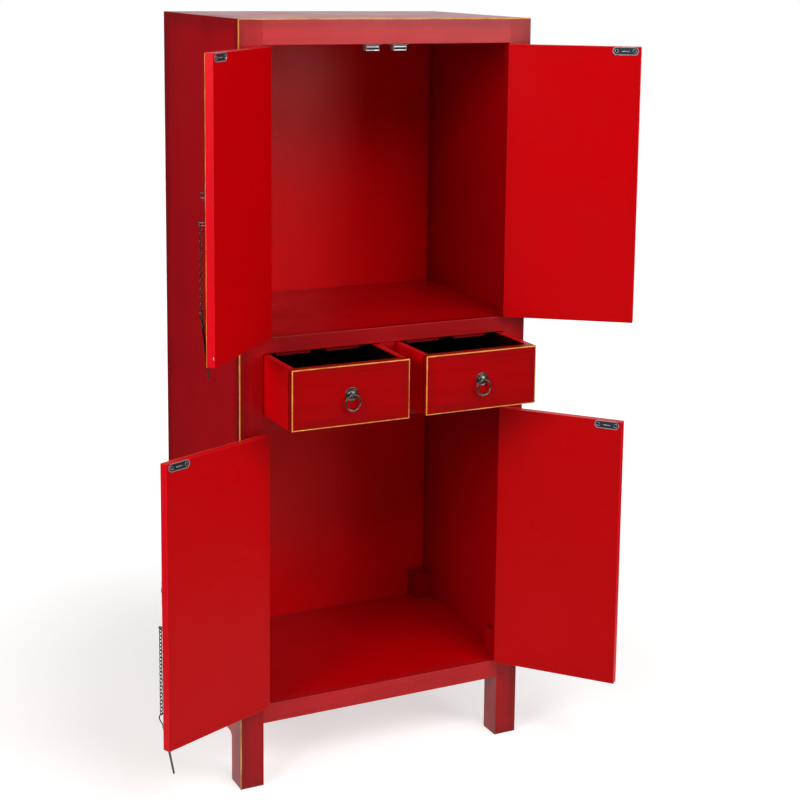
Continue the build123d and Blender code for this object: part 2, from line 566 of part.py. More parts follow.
def make_door(name, side, opened, base, top):
    """Write the door panel and the hardware fixed to it."""
    middle = (base + top) / 2
    inward = -side  # sign of the door plane's y towards the inside of the cabinet
    door_plane = Plane(origin=door_point(side, opened, 0, 0, base), x_dir=door_along(side, opened),
                       z_dir=(0, 0, 1))
    hinge_spots = door_hinge_spots(side, opened, base, top)

    strike_along = DOOR_END - STRIKE_EDGE_INSET - STRIKE_LENGTH / 2
    strike_height = top - STRIKE_TOP_INSET - STRIKE_HEIGHT / 2
    strike_face = face_plane(side, opened, strike_along, DOOR_INNER_FACE, strike_height, inner=True)
    strike_spots = [strike_face.offset(STRIKE_THICKNESS).location * Location((0, end * STRIKE_SCREW_SPACING / 2))
                    for end in (-1, 1)]

    lock_height = middle + LOCK_HEIGHT
    plate_face = face_plane(side, opened, DOOR_END - LOCK_PLATE_INSET, LEAF_THICKNESS, lock_height)
    plate_spots = [plate_face.offset(LOCK_PLATE_THICKNESS).location
                   * Location((end * LOCK_PLATE_SCREW_RADIUS * sin(radians(45)),
                               inward * LOCK_PLATE_SCREW_RADIUS * cos(radians(45)), 0))
                   for end in (-1, 1)]
    lock_foot = face_plane(side, opened, DOOR_END - LOCK_STAPLE_INSET, LEAF_THICKNESS,
                           lock_height - STAPLE_SPACING / 2).location
    staples = [(lock_foot, STAPLE_SPACING, STAPLE_REACH)]
    if name in CHAIN_DROPS:
        eye_foot = face_plane(side, opened, DOOR_END - CHAIN_EYE_INSET, LEAF_THICKNESS,
                              middle - CHAIN_DROPS[name]).location
        staples.append((eye_foot, EYE_SPACING, CHAIN_EYE_REACH))

    with BuildPart() as panel:
        with BuildSketch(door_plane):
            with Locations(((DOOR_START + DOOR_END) / 2, inward * (LEAF_THICKNESS + DOOR_INNER_FACE) / 2)):
                Rectangle(DOOR_WIDTH, DOOR_THICKNESS)
        extrude(amount=top - base)
        fillet(panel.edges(), DOOR_EDGE_RADIUS)
        cut_knuckle_grooves(side)
        sink_screws(hinge_spots + strike_spots + plate_spots)
        for foot, spacing, _ in staples:
            with Locations(foot, foot * Location((spacing, 0, 0))):
                Hole(STAPLE_WIRE_RADIUS, depth=STAPLE_LEG_IN_DOOR)
    save(panel, f"{name}_door_panel")

    with BuildPart() as leaves:
        for height in hinge_heights(base, top):
            place = Plane(origin=door_point(side, opened, 0, 0, height), x_dir=door_along(side, opened),
                          z_dir=(0, 0, -side)).location
            bore = HINGE_PIN_RADIUS + PIN_RUNNING_CLEARANCE
            add(hinge_leaf((middle_knuckle,), bore, place).part)
    save(leaves, f"{name}_door_hinge_leaves")

    with BuildPart() as strike_plate:
        with BuildSketch(strike_face):
            SlotOverall(STRIKE_LENGTH, STRIKE_HEIGHT, rotation=90)
        extrude(amount=STRIKE_THICKNESS)
        sink_screws(strike_spots)
    save(strike_plate, f"{name}_strike_plate")

    with BuildPart() as hasp:
        with BuildSketch(plate_face):
            Circle(LOCK_PLATE_RADIUS)
            with Locations((0, -inward * LOCK_PLATE_RADIUS)):
                Rectangle(2 * LOCK_PLATE_RADIUS, 2 * LOCK_PLATE_RADIUS, mode=Mode.SUBTRACT)
        extrude(amount=LOCK_PLATE_THICKNESS)
        sink_screws(plate_spots)
        with Locations(lock_foot, lock_foot * Location((STAPLE_SPACING, 0, 0))):
            Cylinder(STAPLE_WIRE_RADIUS + STAPLE_HOLE_CLEARANCE, 2 * STAPLE_REACH, mode=Mode.SUBTRACT)
    with BuildPart() as hasp_pieces:
        add(hasp.part)
        for foot, spacing, reach in staples:
            with Locations(foot):
                add(staple(reach, spacing).part)
    save(hasp_pieces, f"{name}_lock_hasp")

    save(screws(hinge_spots + strike_spots + plate_spots), f"{name}_door_screws")


for name, (side, opened, base, top) in DOORS.items():
    make_door(name, side, opened, base, top)


# ======== lock chains and pins, hanging from the left doors' chain eyes ========
def chain_link():
    """One oval link in its own frame: long way on z, flat in the XZ plane."""
    half_straight = (LINK_LENGTH - LINK_WIDTH) / 2
    bend_radius = LINK_WIDTH / 2 - LINK_WIRE_RADIUS
    with BuildPart() as link:
        with BuildLine(Plane.XZ) as route:
            Line((bend_radius, -half_straight), (bend_radius, half_straight))
            CenterArc((0, half_straight), bend_radius, 0, 180)
            Line((-bend_radius, half_straight), (-bend_radius, -half_straight))
            CenterArc((0, -half_straight), bend_radius, 180, 180)
        with BuildSketch(Plane(origin=(bend_radius, 0, -half_straight))):
            Circle(LINK_WIRE_RADIUS)
        sweep(path=route.line)
    return link


def lock_pin():
    """The lock pin in its own frame: the loop's upper wire crosses the origin, the point hangs down."""
    neck = -PIN_LOOP_HEIGHT + 2 * PIN_WIRE_RADIUS
    loop_centre = -PIN_LOOP_RADIUS
    lean = degrees(asin(PIN_LOOP_RADIUS / (loop_centre - neck)))
    tip = -LOCK_PIN_LENGTH + 2 * PIN_WIRE_RADIUS
    collar_base = neck - PIN_COLLAR_HEIGHT
    with BuildPart() as pin:
        with BuildLine(Plane.XZ) as loop:
            arc = CenterArc((0, loop_centre), PIN_LOOP_RADIUS, -lean, 180 + 2 * lean)
            Line(arc @ 1, (0, neck))
        with BuildSketch(Plane(origin=loop.line @ 0, z_dir=loop.line % 0)):
            Circle(PIN_WIRE_RADIUS)
        sweep(path=loop.line)
        with BuildLine(Plane.XZ) as closing:
            Line((0, neck), arc @ 0)
        with BuildSketch(Plane(origin=closing.line @ 0, z_dir=closing.line % 0)):
            Circle(PIN_WIRE_RADIUS)
        sweep(path=closing.line)
        with BuildSketch(Plane.XY.offset(collar_base)):
            Circle(PIN_COLLAR_RADIUS)
        extrude(amount=PIN_COLLAR_HEIGHT)
        for half in (-1, 1):
            with BuildLine(Plane.XZ) as leg:
                Line((half * PIN_LEG_SPREAD, collar_base), (half * PIN_TIP_SPREAD, tip))
            with BuildSketch(Plane(origin=leg.line @ 0, z_dir=leg.line % 0)):
                Circle(PIN_WIRE_RADIUS)
            sweep(path=leg.line)
    return pin


def make_chain(name, links, drop):
    """Write a chain of links from the door's chain eye, and the lock pin on its last link."""
    side, opened, base, top = DOORS[name]
    eye_height = (base + top) / 2 - drop
    along = DOOR_END - CHAIN_EYE_INSET
    hang = door_point(side, opened, along, LEAF_THICKNESS - CHAIN_STANDOFF, eye_height)
    across = door_along(side, opened)
    outward = door_outward(side, opened)
    wire_reach = LINK_LENGTH / 2 - LINK_WIRE_RADIUS
    first_middle = STAPLE_WIRE_RADIUS + LINK_WIRE_RADIUS + LINK_GAP - wire_reach
    link = chain_link()
    with BuildPart() as chain:
        for number in range(links):
            # neighbouring links stand at right angles; the first lies parallel to the door
            flat_along = across if number % 2 == 0 else outward
            middle = hang + Vector(0, 0, first_middle - number * LINK_PITCH)
            with Locations(Plane(origin=middle, x_dir=flat_along, z_dir=(0, 0, 1)).location):
                add(link.part)
    save(chain, f"{name}_lock_chain")

    # the pin leans about the lowest wire of the last link
    last_wire = hang + Vector(0, 0, first_middle - (links - 1) * LINK_PITCH - wire_reach)
    up = Vector(0, 0, 1)
    lean = radians(PIN_LEAN)
    leaning = Plane(origin=last_wire, x_dir=across * cos(lean) - up * sin(lean),
                    z_dir=up * cos(lean) + across * sin(lean))
    with BuildPart() as pin:
        with Locations(leaning.offset(LINK_WIRE_RADIUS + PIN_WIRE_RADIUS + PIN_LOOP_GAP).location):
            add(lock_pin().part)
    save(pin, f"{name}_lock_pin")


make_chain("upper_left", UPPER_CHAIN_LINKS, UPPER_CHAIN_DROP)
make_chain("lower_left", LOWER_CHAIN_LINKS, LOWER_CHAIN_DROP)


# ======== drawers ========
def make_drawer(name, centre, opened):
    """Write a drawer box with its centre at this x, pulled out by this much, and its ring pull."""
    half_width = (OPENING_RIGHT - DIVIDER_WIDTH / 2) / 2 - DRAWER_SIDE_GAP
    inner_half = half_width - DRAWER_SIDE_THICKNESS
    face_y = FRONT - opened
    box_front = face_y + DRAWER_FRONT_THICKNESS
    box_back = face_y + DRAWER_LENGTH
    front_base = DRAWER_RAIL_TOP + DRAWER_BOTTOM_GAP
    front_top = MID_RAIL_BASE - DRAWER_TOP_GAP
    side_base = DRAWER_RAIL_TOP + DRAWER_RUNNING_GAP
    back_top = stop_base - DRAWER_BACK_CLEARANCE
    base_bottom = side_base + DRAWER_BASE_RISE
    base_top = base_bottom + DRAWER_BASE_THICKNESS
    back_inner = box_back - DRAWER_SIDE_THICKNESS
    pull_height = (front_base + front_top) / 2 + PULL_HEIGHT

    front = board((centre - half_width, centre + half_width), (face_y, box_front), (front_base, front_top))
    with front:
        fillet(front.edges().group_by(Axis.Y)[0], DOOR_EDGE_RADIUS)
        with Locations(Plane(origin=(centre, face_y, pull_height), x_dir=(1, 0, 0), z_dir=(0, -1, 0)).location):
            Hole(PULL_BOLT_RADIUS)
    save(front, f"{name}_drawer_front")

    with BuildPart() as sides:
        with BuildSketch(Plane.XY.offset(side_base)):
            with Locations(*[(centre + half * (half_width + inner_half) / 2, (box_front + box_back) / 2)
                             for half in (-1, 1)]):
                Rectangle(DRAWER_SIDE_THICKNESS, box_back - box_front)
        extrude(amount=front_top - side_base)
    save(sides, f"{name}_drawer_sides")

    save(board((centre - inner_half, centre + inner_half), (back_inner, box_back), (side_base, back_top)),
         f"{name}_drawer_back")
    save(board((centre - inner_half, centre + inner_half), (box_front, back_inner), (base_bottom, base_top)),
         f"{name}_drawer_base")

    pull_face = Plane(origin=(centre, face_y, pull_height), x_dir=(1, 0, 0), z_dir=(0, -1, 0))
    with BuildPart() as pull_plate:
        with BuildSketch(Plane.XZ):
            with BuildLine():
                Polyline((0, -DRAWER_FRONT_THICKNESS), (PULL_BOLT_RADIUS, -DRAWER_FRONT_THICKNESS),
                         (PULL_BOLT_RADIUS, 0), (PULL_PLATE_RADIUS, 0), (PULL_PLATE_RADIUS, PULL_RIM_HEIGHT),
                         (PULL_STEP_RADIUS, PULL_RIM_HEIGHT), (PULL_STEP_RADIUS, PULL_STEP_HEIGHT),
                         (PULL_DOME_RADIUS, PULL_STEP_HEIGHT))
                ThreePointArc((PULL_DOME_RADIUS, PULL_STEP_HEIGHT),
                              (PULL_DOME_RADIUS * cos(radians(45)),
                               PULL_STEP_HEIGHT + (PULL_DOME_HEIGHT - PULL_STEP_HEIGHT) * sin(radians(45))),
                              (0, PULL_DOME_HEIGHT))
                Line((0, PULL_DOME_HEIGHT), (0, -DRAWER_FRONT_THICKNESS))
            make_face()
        revolve(axis=Axis.Z)
        with BuildSketch(Plane.YZ.offset(-PULL_EYE_THICKNESS / 2)):
            with Locations((0, PULL_REACH)):
                Circle(PULL_EYE_RADIUS)
            with Locations((0, PULL_REACH / 2)):
                Rectangle(2 * PULL_EYE_RADIUS * cos(radians(45)), PULL_REACH)
            with Locations((0, PULL_REACH)):
                Circle(RING_WIRE_RADIUS + RING_EYE_CLEARANCE, mode=Mode.SUBTRACT)
        extrude(amount=PULL_EYE_THICKNESS)
    with BuildPart() as placed_plate:
        with Locations(pull_face.location):
            add(pull_plate.part)
    save(placed_plate, f"{name}_drawer_pull_plate")

    with BuildPart() as ring:
        with BuildSketch(Plane.XZ):
            with Locations((RING_RADIUS, 0)):
                Circle(RING_WIRE_RADIUS)
        revolve(axis=Axis.Z)
        with Locations((0, -RING_RADIUS, 0)):
            Sphere(RING_BEAD_RADIUS, rotation=(0, 90, 0))
    with BuildPart() as placed_ring:
        with Locations(pull_face.offset(PULL_REACH).location * Location((0, -RING_RADIUS, 0))):
            add(ring.part)
    save(placed_ring, f"{name}_drawer_pull_ring")


make_drawer("left", -DRAWER_CENTRE, LEFT_DRAWER_OPEN)
make_drawer("right", DRAWER_CENTRE, RIGHT_DRAWER_OPEN)
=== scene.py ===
import json
import logging
import math
from dataclasses import dataclass
from enum import Enum
from typing import Any, Optional, Sequence

import bmesh
import bpy
from mathutils import Matrix, Vector, noise

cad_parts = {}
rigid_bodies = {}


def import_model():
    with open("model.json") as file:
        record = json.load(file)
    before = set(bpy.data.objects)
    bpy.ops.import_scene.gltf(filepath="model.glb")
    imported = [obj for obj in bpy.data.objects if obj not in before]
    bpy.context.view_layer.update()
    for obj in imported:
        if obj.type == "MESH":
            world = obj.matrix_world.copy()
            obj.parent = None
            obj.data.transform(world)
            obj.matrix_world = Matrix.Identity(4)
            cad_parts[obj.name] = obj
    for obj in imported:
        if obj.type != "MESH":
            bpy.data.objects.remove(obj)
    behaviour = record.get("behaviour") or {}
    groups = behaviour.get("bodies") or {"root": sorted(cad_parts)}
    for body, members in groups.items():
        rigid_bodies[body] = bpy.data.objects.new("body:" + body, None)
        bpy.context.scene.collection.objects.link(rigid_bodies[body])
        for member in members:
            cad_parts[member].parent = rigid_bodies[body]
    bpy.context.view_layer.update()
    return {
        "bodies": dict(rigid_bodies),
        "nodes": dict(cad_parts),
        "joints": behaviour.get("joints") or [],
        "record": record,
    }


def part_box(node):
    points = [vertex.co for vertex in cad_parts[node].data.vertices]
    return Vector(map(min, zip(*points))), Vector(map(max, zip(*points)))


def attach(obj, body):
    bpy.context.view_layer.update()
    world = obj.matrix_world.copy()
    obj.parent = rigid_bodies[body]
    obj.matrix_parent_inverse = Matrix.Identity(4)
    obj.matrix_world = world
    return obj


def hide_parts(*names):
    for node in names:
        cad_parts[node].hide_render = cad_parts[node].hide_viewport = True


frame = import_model()

logging.basicConfig(level=logging.INFO, format="%(name)s: %(message)s")
log = logging.getLogger("wedding_cabinet")

Tree = bpy.types.NodeTree
Socket = bpy.types.NodeSocket
Material = bpy.types.Material
Piece = bpy.types.Object
Shape = bmesh.types.BMesh

MM = 0.001

# Sizes of the cabinet that several of its parts share, in metres.
FRONT_Y = -227 * MM
BACK_Y = 227 * MM
SIDE_X = 329 * MM
TOP_Z = 1600 * MM
PAINT_PROUD = 0.12 * MM  # how far a painted line stands off the lacquer
PAINT_BODY = 0.3 * MM  # thickness of a painted line's film, most of it sunk
LINE_STEP = 14 * MM  # length between the points of a hand-drawn edge
LINE_WAVER = 0.9 * MM  # how far such an edge wanders
SAME = 1e-6  # points closer than this count as one


# ======== small helpers ========
def linear(hex_colour: str) -> tuple[float, float, float, float]:
    """Turn an sRGB hex colour into linear red, green, blue and alpha.

    Args:
        hex_colour: Six hex digits, without a hash sign.

    Returns:
        The colour in Blender's linear space, with an alpha of 1.
    """
    values = [int(hex_colour[i:i + 2], 16) / 255 for i in (0, 2, 4)]
    red, green, blue = (v / 12.92 if v <= 0.04045 else ((v + 0.055) / 1.055) ** 2.4 for v in values)
    return red, green, blue, 1.0


def add_node(tree: Tree, kind: str, inputs: Optional[dict] = None, **settings: Any) -> bpy.types.Node:
    """Add one node with its settings, its values and its links.

    Args:
        tree: The node tree that gets the node.
        kind: The node's type name.
        inputs: Socket name or number to a constant, or to the output socket that feeds it.
        **settings: Properties of the node itself.

    Returns:
        The new node.
    """
    node = tree.nodes.new(kind)
    for name, value in settings.items():
        setattr(node, name, value)
    for socket, value in (inputs or {}).items():
        if isinstance(value, Socket):
            tree.links.new(value, node.inputs[socket])
        else:
            node.inputs[socket].default_value = value
    return node


def new_material(name: str) -> tuple[Material, Tree]:
    """Make an empty node material.

    Args:
        name: Its name.

    Returns:
        The material and its node tree.
    """
    material = bpy.data.materials.new(name)
    material.use_nodes = True
    material.node_tree.nodes.clear()
    return material, material.node_tree


def shade_mix(tree: Tree, factor: Any, low: Any, high: Any) -> Socket:
    """Blend two colours.

    Args:
        tree: The node tree.
        factor: Share of the second colour, a number or a socket.
        low: First colour or socket.
        high: Second colour or socket.

    Returns:
        The blended colour's socket.
    """
    return add_node(tree, "ShaderNodeMix", {0: factor, 6: low, 7: high}, data_type="RGBA").outputs[2]


def compute(tree: Tree, operation: str, *values: Any) -> Socket:
    """The result of one math node on numbers or sockets."""
    return add_node(tree, "ShaderNodeMath", dict(enumerate(values)), operation=operation).outputs[0]


def compute_vector(tree: Tree, operation: str, *values: Any) -> Socket:
    """The result of one vector math node on vectors or sockets."""
    return add_node(tree, "ShaderNodeVectorMath", dict(enumerate(values)), operation=operation).outputs[0]


def axes(tree: Tree, vector: Socket) -> Any:
    """The x, y and z sockets of a vector."""
    return add_node(tree, "ShaderNodeSeparateXYZ", {0: vector}).outputs


def remap(tree: Tree, value: Any, low: float, high: float, first: float = 0.0,
          last: float = 1.0, smooth: bool = False) -> Socket:
    """Map a range of values to another, clamped.

    Args:
        tree: The node tree.
        value: The value's socket.
        low: Start of its range.
        high: End of its range.
        first: Result at the start.
        last: Result at the end.
        smooth: Whether it eases in and out.

    Returns:
        The result's socket.
    """
    return add_node(tree, "ShaderNodeMapRange", {0: value, 1: low, 2: high, 3: first, 4: last},
                    interpolation_type="SMOOTHSTEP" if smooth else "LINEAR").outputs[0]


def speckle(tree: Tree, point: Socket, size: float, detail: float = 2.0,
            roughness: float = 0.5) -> Socket:
    """A noise pattern.

    Args:
        tree: The node tree.
        point: Where it is read.
        size: Size of its patches in metres.
        detail: Number of finer layers.
        roughness: Strength of the finer layers.

    Returns:
        The pattern's value socket.
    """
    return add_node(tree, "ShaderNodeTexNoise", {"Vector": point, "Scale": 1 / size, "Detail": detail,
                                                 "Roughness": roughness}).outputs["Fac"]


def bumped(tree: Tree, height: Socket, strength: float,
           distance: float) -> Socket:
    """The normal of a surface with a small relief of this height pattern."""
    return add_node(tree, "ShaderNodeBump", {"Height": height, "Strength": strength,
                                             "Distance": distance}).outputs[0]


def coat_with(tree: Tree, values: dict) -> None:
    """End a material with one principled surface of these values."""
    surface = add_node(tree, "ShaderNodeBsdfPrincipled", values)
    add_node(tree, "ShaderNodeOutputMaterial", {0: surface.outputs[0]})


def object_point(tree: Tree) -> Socket:
    """The surface point in the object's frame."""
    return add_node(tree, "ShaderNodeTexCoord").outputs["Object"]


# ======== where a board lies ========
@dataclass(frozen=True)
class Board:
    """The box whose edges a finish follows: its middle, half its size, and its turn about the vertical."""

    middle: Vector
    half: Vector
    turn: float = 0.0

    @classmethod
    def of_node(cls, node: str) -> "Board":
        """The box of one upright CAD board.

        Args:
            node: The CAD node's name.

        Returns:
            Its board.
        """
        low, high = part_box(node)
        return cls((low + high) / 2, (high - low) / 2)

    def local(self, tree: Tree) -> Socket:
        """The surface point in the board's own frame, from its middle, in metres."""
        turned = Matrix.Rotation(-self.turn, 3, "Z")
        shift = -(turned @ self.middle)
        return add_node(tree, "ShaderNodeMapping", {"Vector": object_point(tree), "Location": shift,
                                                    "Rotation": (0, 0, -self.turn)}).outputs[0]


@dataclass(frozen=True)
class Zone:
    """A part of a board that is painted another colour: all within this box, in the board's own frame."""

    low: Vector
    high: Vector
    colour: str
    plain: bool = False  # without the brush streaks of the rest

    def mask(self, tree: Tree, point: Socket) -> Socket:
        """Mark the zone.

        Args:
            tree: The node tree.
            point: The surface point in the board's frame.

        Returns:
            A socket that is 1 inside the box and 0 outside it.
        """
        middle, half = (self.low + self.high) / 2, (self.high - self.low) / 2
        away = compute_vector(tree, "ABSOLUTE", compute_vector(tree, "SUBTRACT", point, middle))
        x, y, z = axes(tree, compute_vector(tree, "SUBTRACT", away, half))
        most = compute(tree, "MAXIMUM", compute(tree, "MAXIMUM", x, y), z)
        return compute(tree, "LESS_THAN", most, 0.0)


CABINET_BOX = Board(Vector((0, 0, TOP_Z / 2)), Vector((SIDE_X, BACK_Y, TOP_Z / 2)))


class Grain(Enum):
    """The way the brush went on a board, as the streaks' stretch along x, y and z."""

    ACROSS = (0.02, 1.0, 1.0)
    UPRIGHT = (1.0, 1.0, 0.02)
    DEEP = (1.0, 0.02, 1.0)


# ======== finishes ========
@dataclass(frozen=True)
class Lacquer:
    """Red lacquer, brushed on in thin coats over sanded elm boards and rubbed down to a deep satin.

    To the eye: a saturated red with faint brush streaks, cloudy depth, a browner rub near the edges, lighter
    edges that are partly worn and partly a painted highlight, and soft, slightly uneven highlights.
    """

    name: str
    coat: str = "9C0007"  # sRGB of the top coat
    deep: str = "740005"  # where the coats lie thicker
    rub: str = "4A0A0C"  # brown stain rubbed in towards the edges
    bare: str = "C8141C"  # edge rubbed thin and lighter: worn in part, a painted highlight along the edge in part
    rub_reach: float = 16 * MM
    rub_share: float = 0.3
    back_shade_share: float = 0.0  # painted shade, darker towards the back of the cabinet
    cloud_share: float = 0.4
    streak_share: float = 0.25
    worn_and_highlight_share: float = 0.35
    worn_and_highlight_from: float = 0.2 * MM  # distance from the edge where the wear and the painted highlight are full
    worn_and_highlight_to: float = 1.6 * MM
    cloud_size: float = 160 * MM
    roughness: float = 0.27
    streak_gap: float = 5 * MM  # bristle tracks are 1 to 2 mm apart, drawn coarser so that they show
    peel: float = 7 * MM  # orange peel is 2 to 3 mm, drawn coarser so that it shows
    peel_height: float = 0.12 * MM
    sheen: float = 0.25  # specular level; a rubbed satin coat mirrors less than a polished one

    def material(self, board: Board, grain: Grain, zones: Sequence[Zone] = ()) -> Material:
        """Build the lacquer for one board.

        Args:
            board: The box whose edges are rubbed.
            grain: The brush's direction.
            zones: Parts in other colours, as the black inside of a drawer.

        Returns:
            The material.
        """
        material, tree = new_material(self.name)
        point = board.local(tree)
        stretched = compute_vector(tree, "MULTIPLY", point, grain.value)
        streaks = speckle(tree, stretched, self.streak_gap, 3.0, 0.6)
        clouds = speckle(tree, point, self.cloud_size, 4.0, 0.55)
        peel = speckle(tree, point, self.peel, 1.0)
        near_edge = self.edge_distance(tree, board, point)
        colour = linear(self.coat)
        for zone in (zone for zone in zones if not zone.plain):
            colour = shade_mix(tree, zone.mask(tree, point), colour, linear(zone.colour))
        cloud = remap(tree, clouds, 0.35, 0.7, 0.0, self.cloud_share)
        colour = shade_mix(tree, cloud, colour, linear(self.deep))
        streak = remap(tree, streaks, 0.35, 0.75, 0.0, self.streak_share)
        colour = shade_mix(tree, streak, colour, linear(self.deep))
        for zone in (zone for zone in zones if zone.plain):
            colour = shade_mix(tree, zone.mask(tree, point), colour, linear(zone.colour))
        wander = compute(tree, "MULTIPLY", clouds, self.rub_reach * 1.2)
        reach = compute(tree, "SUBTRACT", near_edge, wander)
        rub = remap(tree, reach, 0.0, self.rub_reach, self.rub_share, 0.0, smooth=True)
        colour = shade_mix(tree, rub, colour, linear(self.rub))
        # painted shade, darker towards the back of the cabinet
        if self.back_shade_share:
            colour = self.paint_back_shade(tree, point, clouds, colour)
        # lighter edges: worn lacquer in part, and in part a painted highlight along the rounded edges
        worn = remap(tree, near_edge, self.worn_and_highlight_from, self.worn_and_highlight_to, self.worn_and_highlight_share, 0.0)
        colour = shade_mix(tree, worn, colour, linear(self.bare))
        waves = compute(tree, "ADD", streaks, peel)
        coat_with(tree, {
            "Base Color": colour, "IOR": 1.48, "Specular IOR Level": self.sheen,
            "Roughness": remap(tree, clouds, 0.3, 0.7, self.roughness, self.roughness + 0.1),
            "Normal": bumped(tree, waves, 0.2, self.peel_height),
        })
        return material

    @staticmethod
    def edge_distance(tree: Tree, board: Board, point: Socket) -> Socket:
        """How far a surface point is from the board's nearest edge.

        Args:
            tree: The node tree.
            board: The board.
            point: The point in the board's frame.

        Returns:
            A socket with the distance in metres: the second smallest of the distances to the faces.
        """
        away = compute_vector(tree, "ABSOLUTE", point)
        x, y, z = axes(tree, compute_vector(tree, "SUBTRACT", board.half, away))
        middle = compute(tree, "MINIMUM", compute(tree, "MAXIMUM", x, y), z)
        return compute(tree, "MAXIMUM", compute(tree, "MINIMUM", x, y), middle)

    def paint_back_shade(self, tree: Tree, point: Socket, clouds: Socket,
                   colour: Socket) -> Socket:
        """Darken a colour towards the back of the cabinet: painted shade.

        Args:
            tree: The node tree.
            point: The point in the cabinet's frame.
            clouds: A broad noise that makes the painted shade uneven.
            colour: The colour so far.

        Returns:
            The shaded colour's socket.
        """
        uneven = compute(tree, "MULTIPLY_ADD", clouds, 0.25, axes(tree, point)[1])
        share = remap(tree, uneven, 0.12, 0.38, 0.0, self.back_shade_share, smooth=True)
        return shade_mix(tree, share, colour, linear(self.rub))


@dataclass(frozen=True)
class GoldPaint:
    """Ochre gold paint, drawn on with a fine brush: warm, satin, in places so thin that the red shows."""

    name: str = "gold_line_paint"
    full: str = "E0A040"
    thin: str = "B8661E"
    worn: str = "8A1A10"
    stroke: float = 38 * MM  # length over which the brush runs dry
    gap: float = 9 * MM  # size of the places where the paint has come off

    def material(self) -> Material:
        """Build the paint."""
        material, tree = new_material(self.name)
        coords = object_point(tree)
        flow = remap(tree, speckle(tree, coords, self.stroke, 5.0, 0.65), 0.4, 0.68)
        colour = shade_mix(tree, flow, linear(self.full), linear(self.thin))
        gaps = speckle(tree, coords, self.gap, 4.0, 0.7)
        wear = remap(tree, gaps, 0.66, 0.74, 0.0, 0.8)
        coat_with(tree, {"Base Color": shade_mix(tree, wear, colour, linear(self.worn)), "Roughness": 0.34,
                         "IOR": 1.5, "Normal": bumped(tree, gaps, 0.3, 0.1 * MM)})
        return material


@dataclass(frozen=True)
class Metal:
    """A metal with a patina: bright where it is rubbed, dull and darker where the patina stays."""

    name: str
    bright: str
    patina: str
    roughness: float
    patina_size: float
    patina_share: float = 0.6
    grit: float = 1.2 * MM

    def material(self) -> Material:
        """Build the metal."""
        material, tree = new_material(self.name)
        coords = object_point(tree)
        patches = speckle(tree, coords, self.patina_size, 5.0, 0.65)
        share = remap(tree, patches, 0.38, 0.62, 0.0, self.patina_share)
        coat_with(tree, {
            "Base Color": shade_mix(tree, share, linear(self.bright), linear(self.patina)), "Metallic": 1.0,
            "Roughness": remap(tree, share, 0.0, 1.0, self.roughness, self.roughness + 0.22),
            "Normal": bumped(tree, speckle(tree, coords, self.grit), 0.15, 0.08 * MM),
        })
        return material


@dataclass(frozen=True)
class Nylon:
    """Moulded nylon in grey with darker patches: slightly warm and translucent, with a fine matt grain from
    the mould.
    """

    name: str = "moulded_nylon"
    colour: str = "8A7F7A"
    dust: str = "5A504C"
    dust_size: float = 14 * MM
    grain: float = 1 * MM

    def material(self) -> Material:
        """Build the nylon."""
        material, tree = new_material(self.name)
        coords = object_point(tree)
        share = remap(tree, speckle(tree, coords, self.dust_size, 4.0), 0.45, 0.75, 0.0, 0.4)
        coat_with(tree, {
            "Base Color": shade_mix(tree, share, linear(self.colour), linear(self.dust)), "Roughness": 0.42,
            "IOR": 1.53, "Normal": bumped(tree, speckle(tree, coords, self.grain), 0.2, 0.05 * MM),
            "Subsurface Weight": 0.1, "Subsurface Scale": 1.5 * MM,
        })
        return material


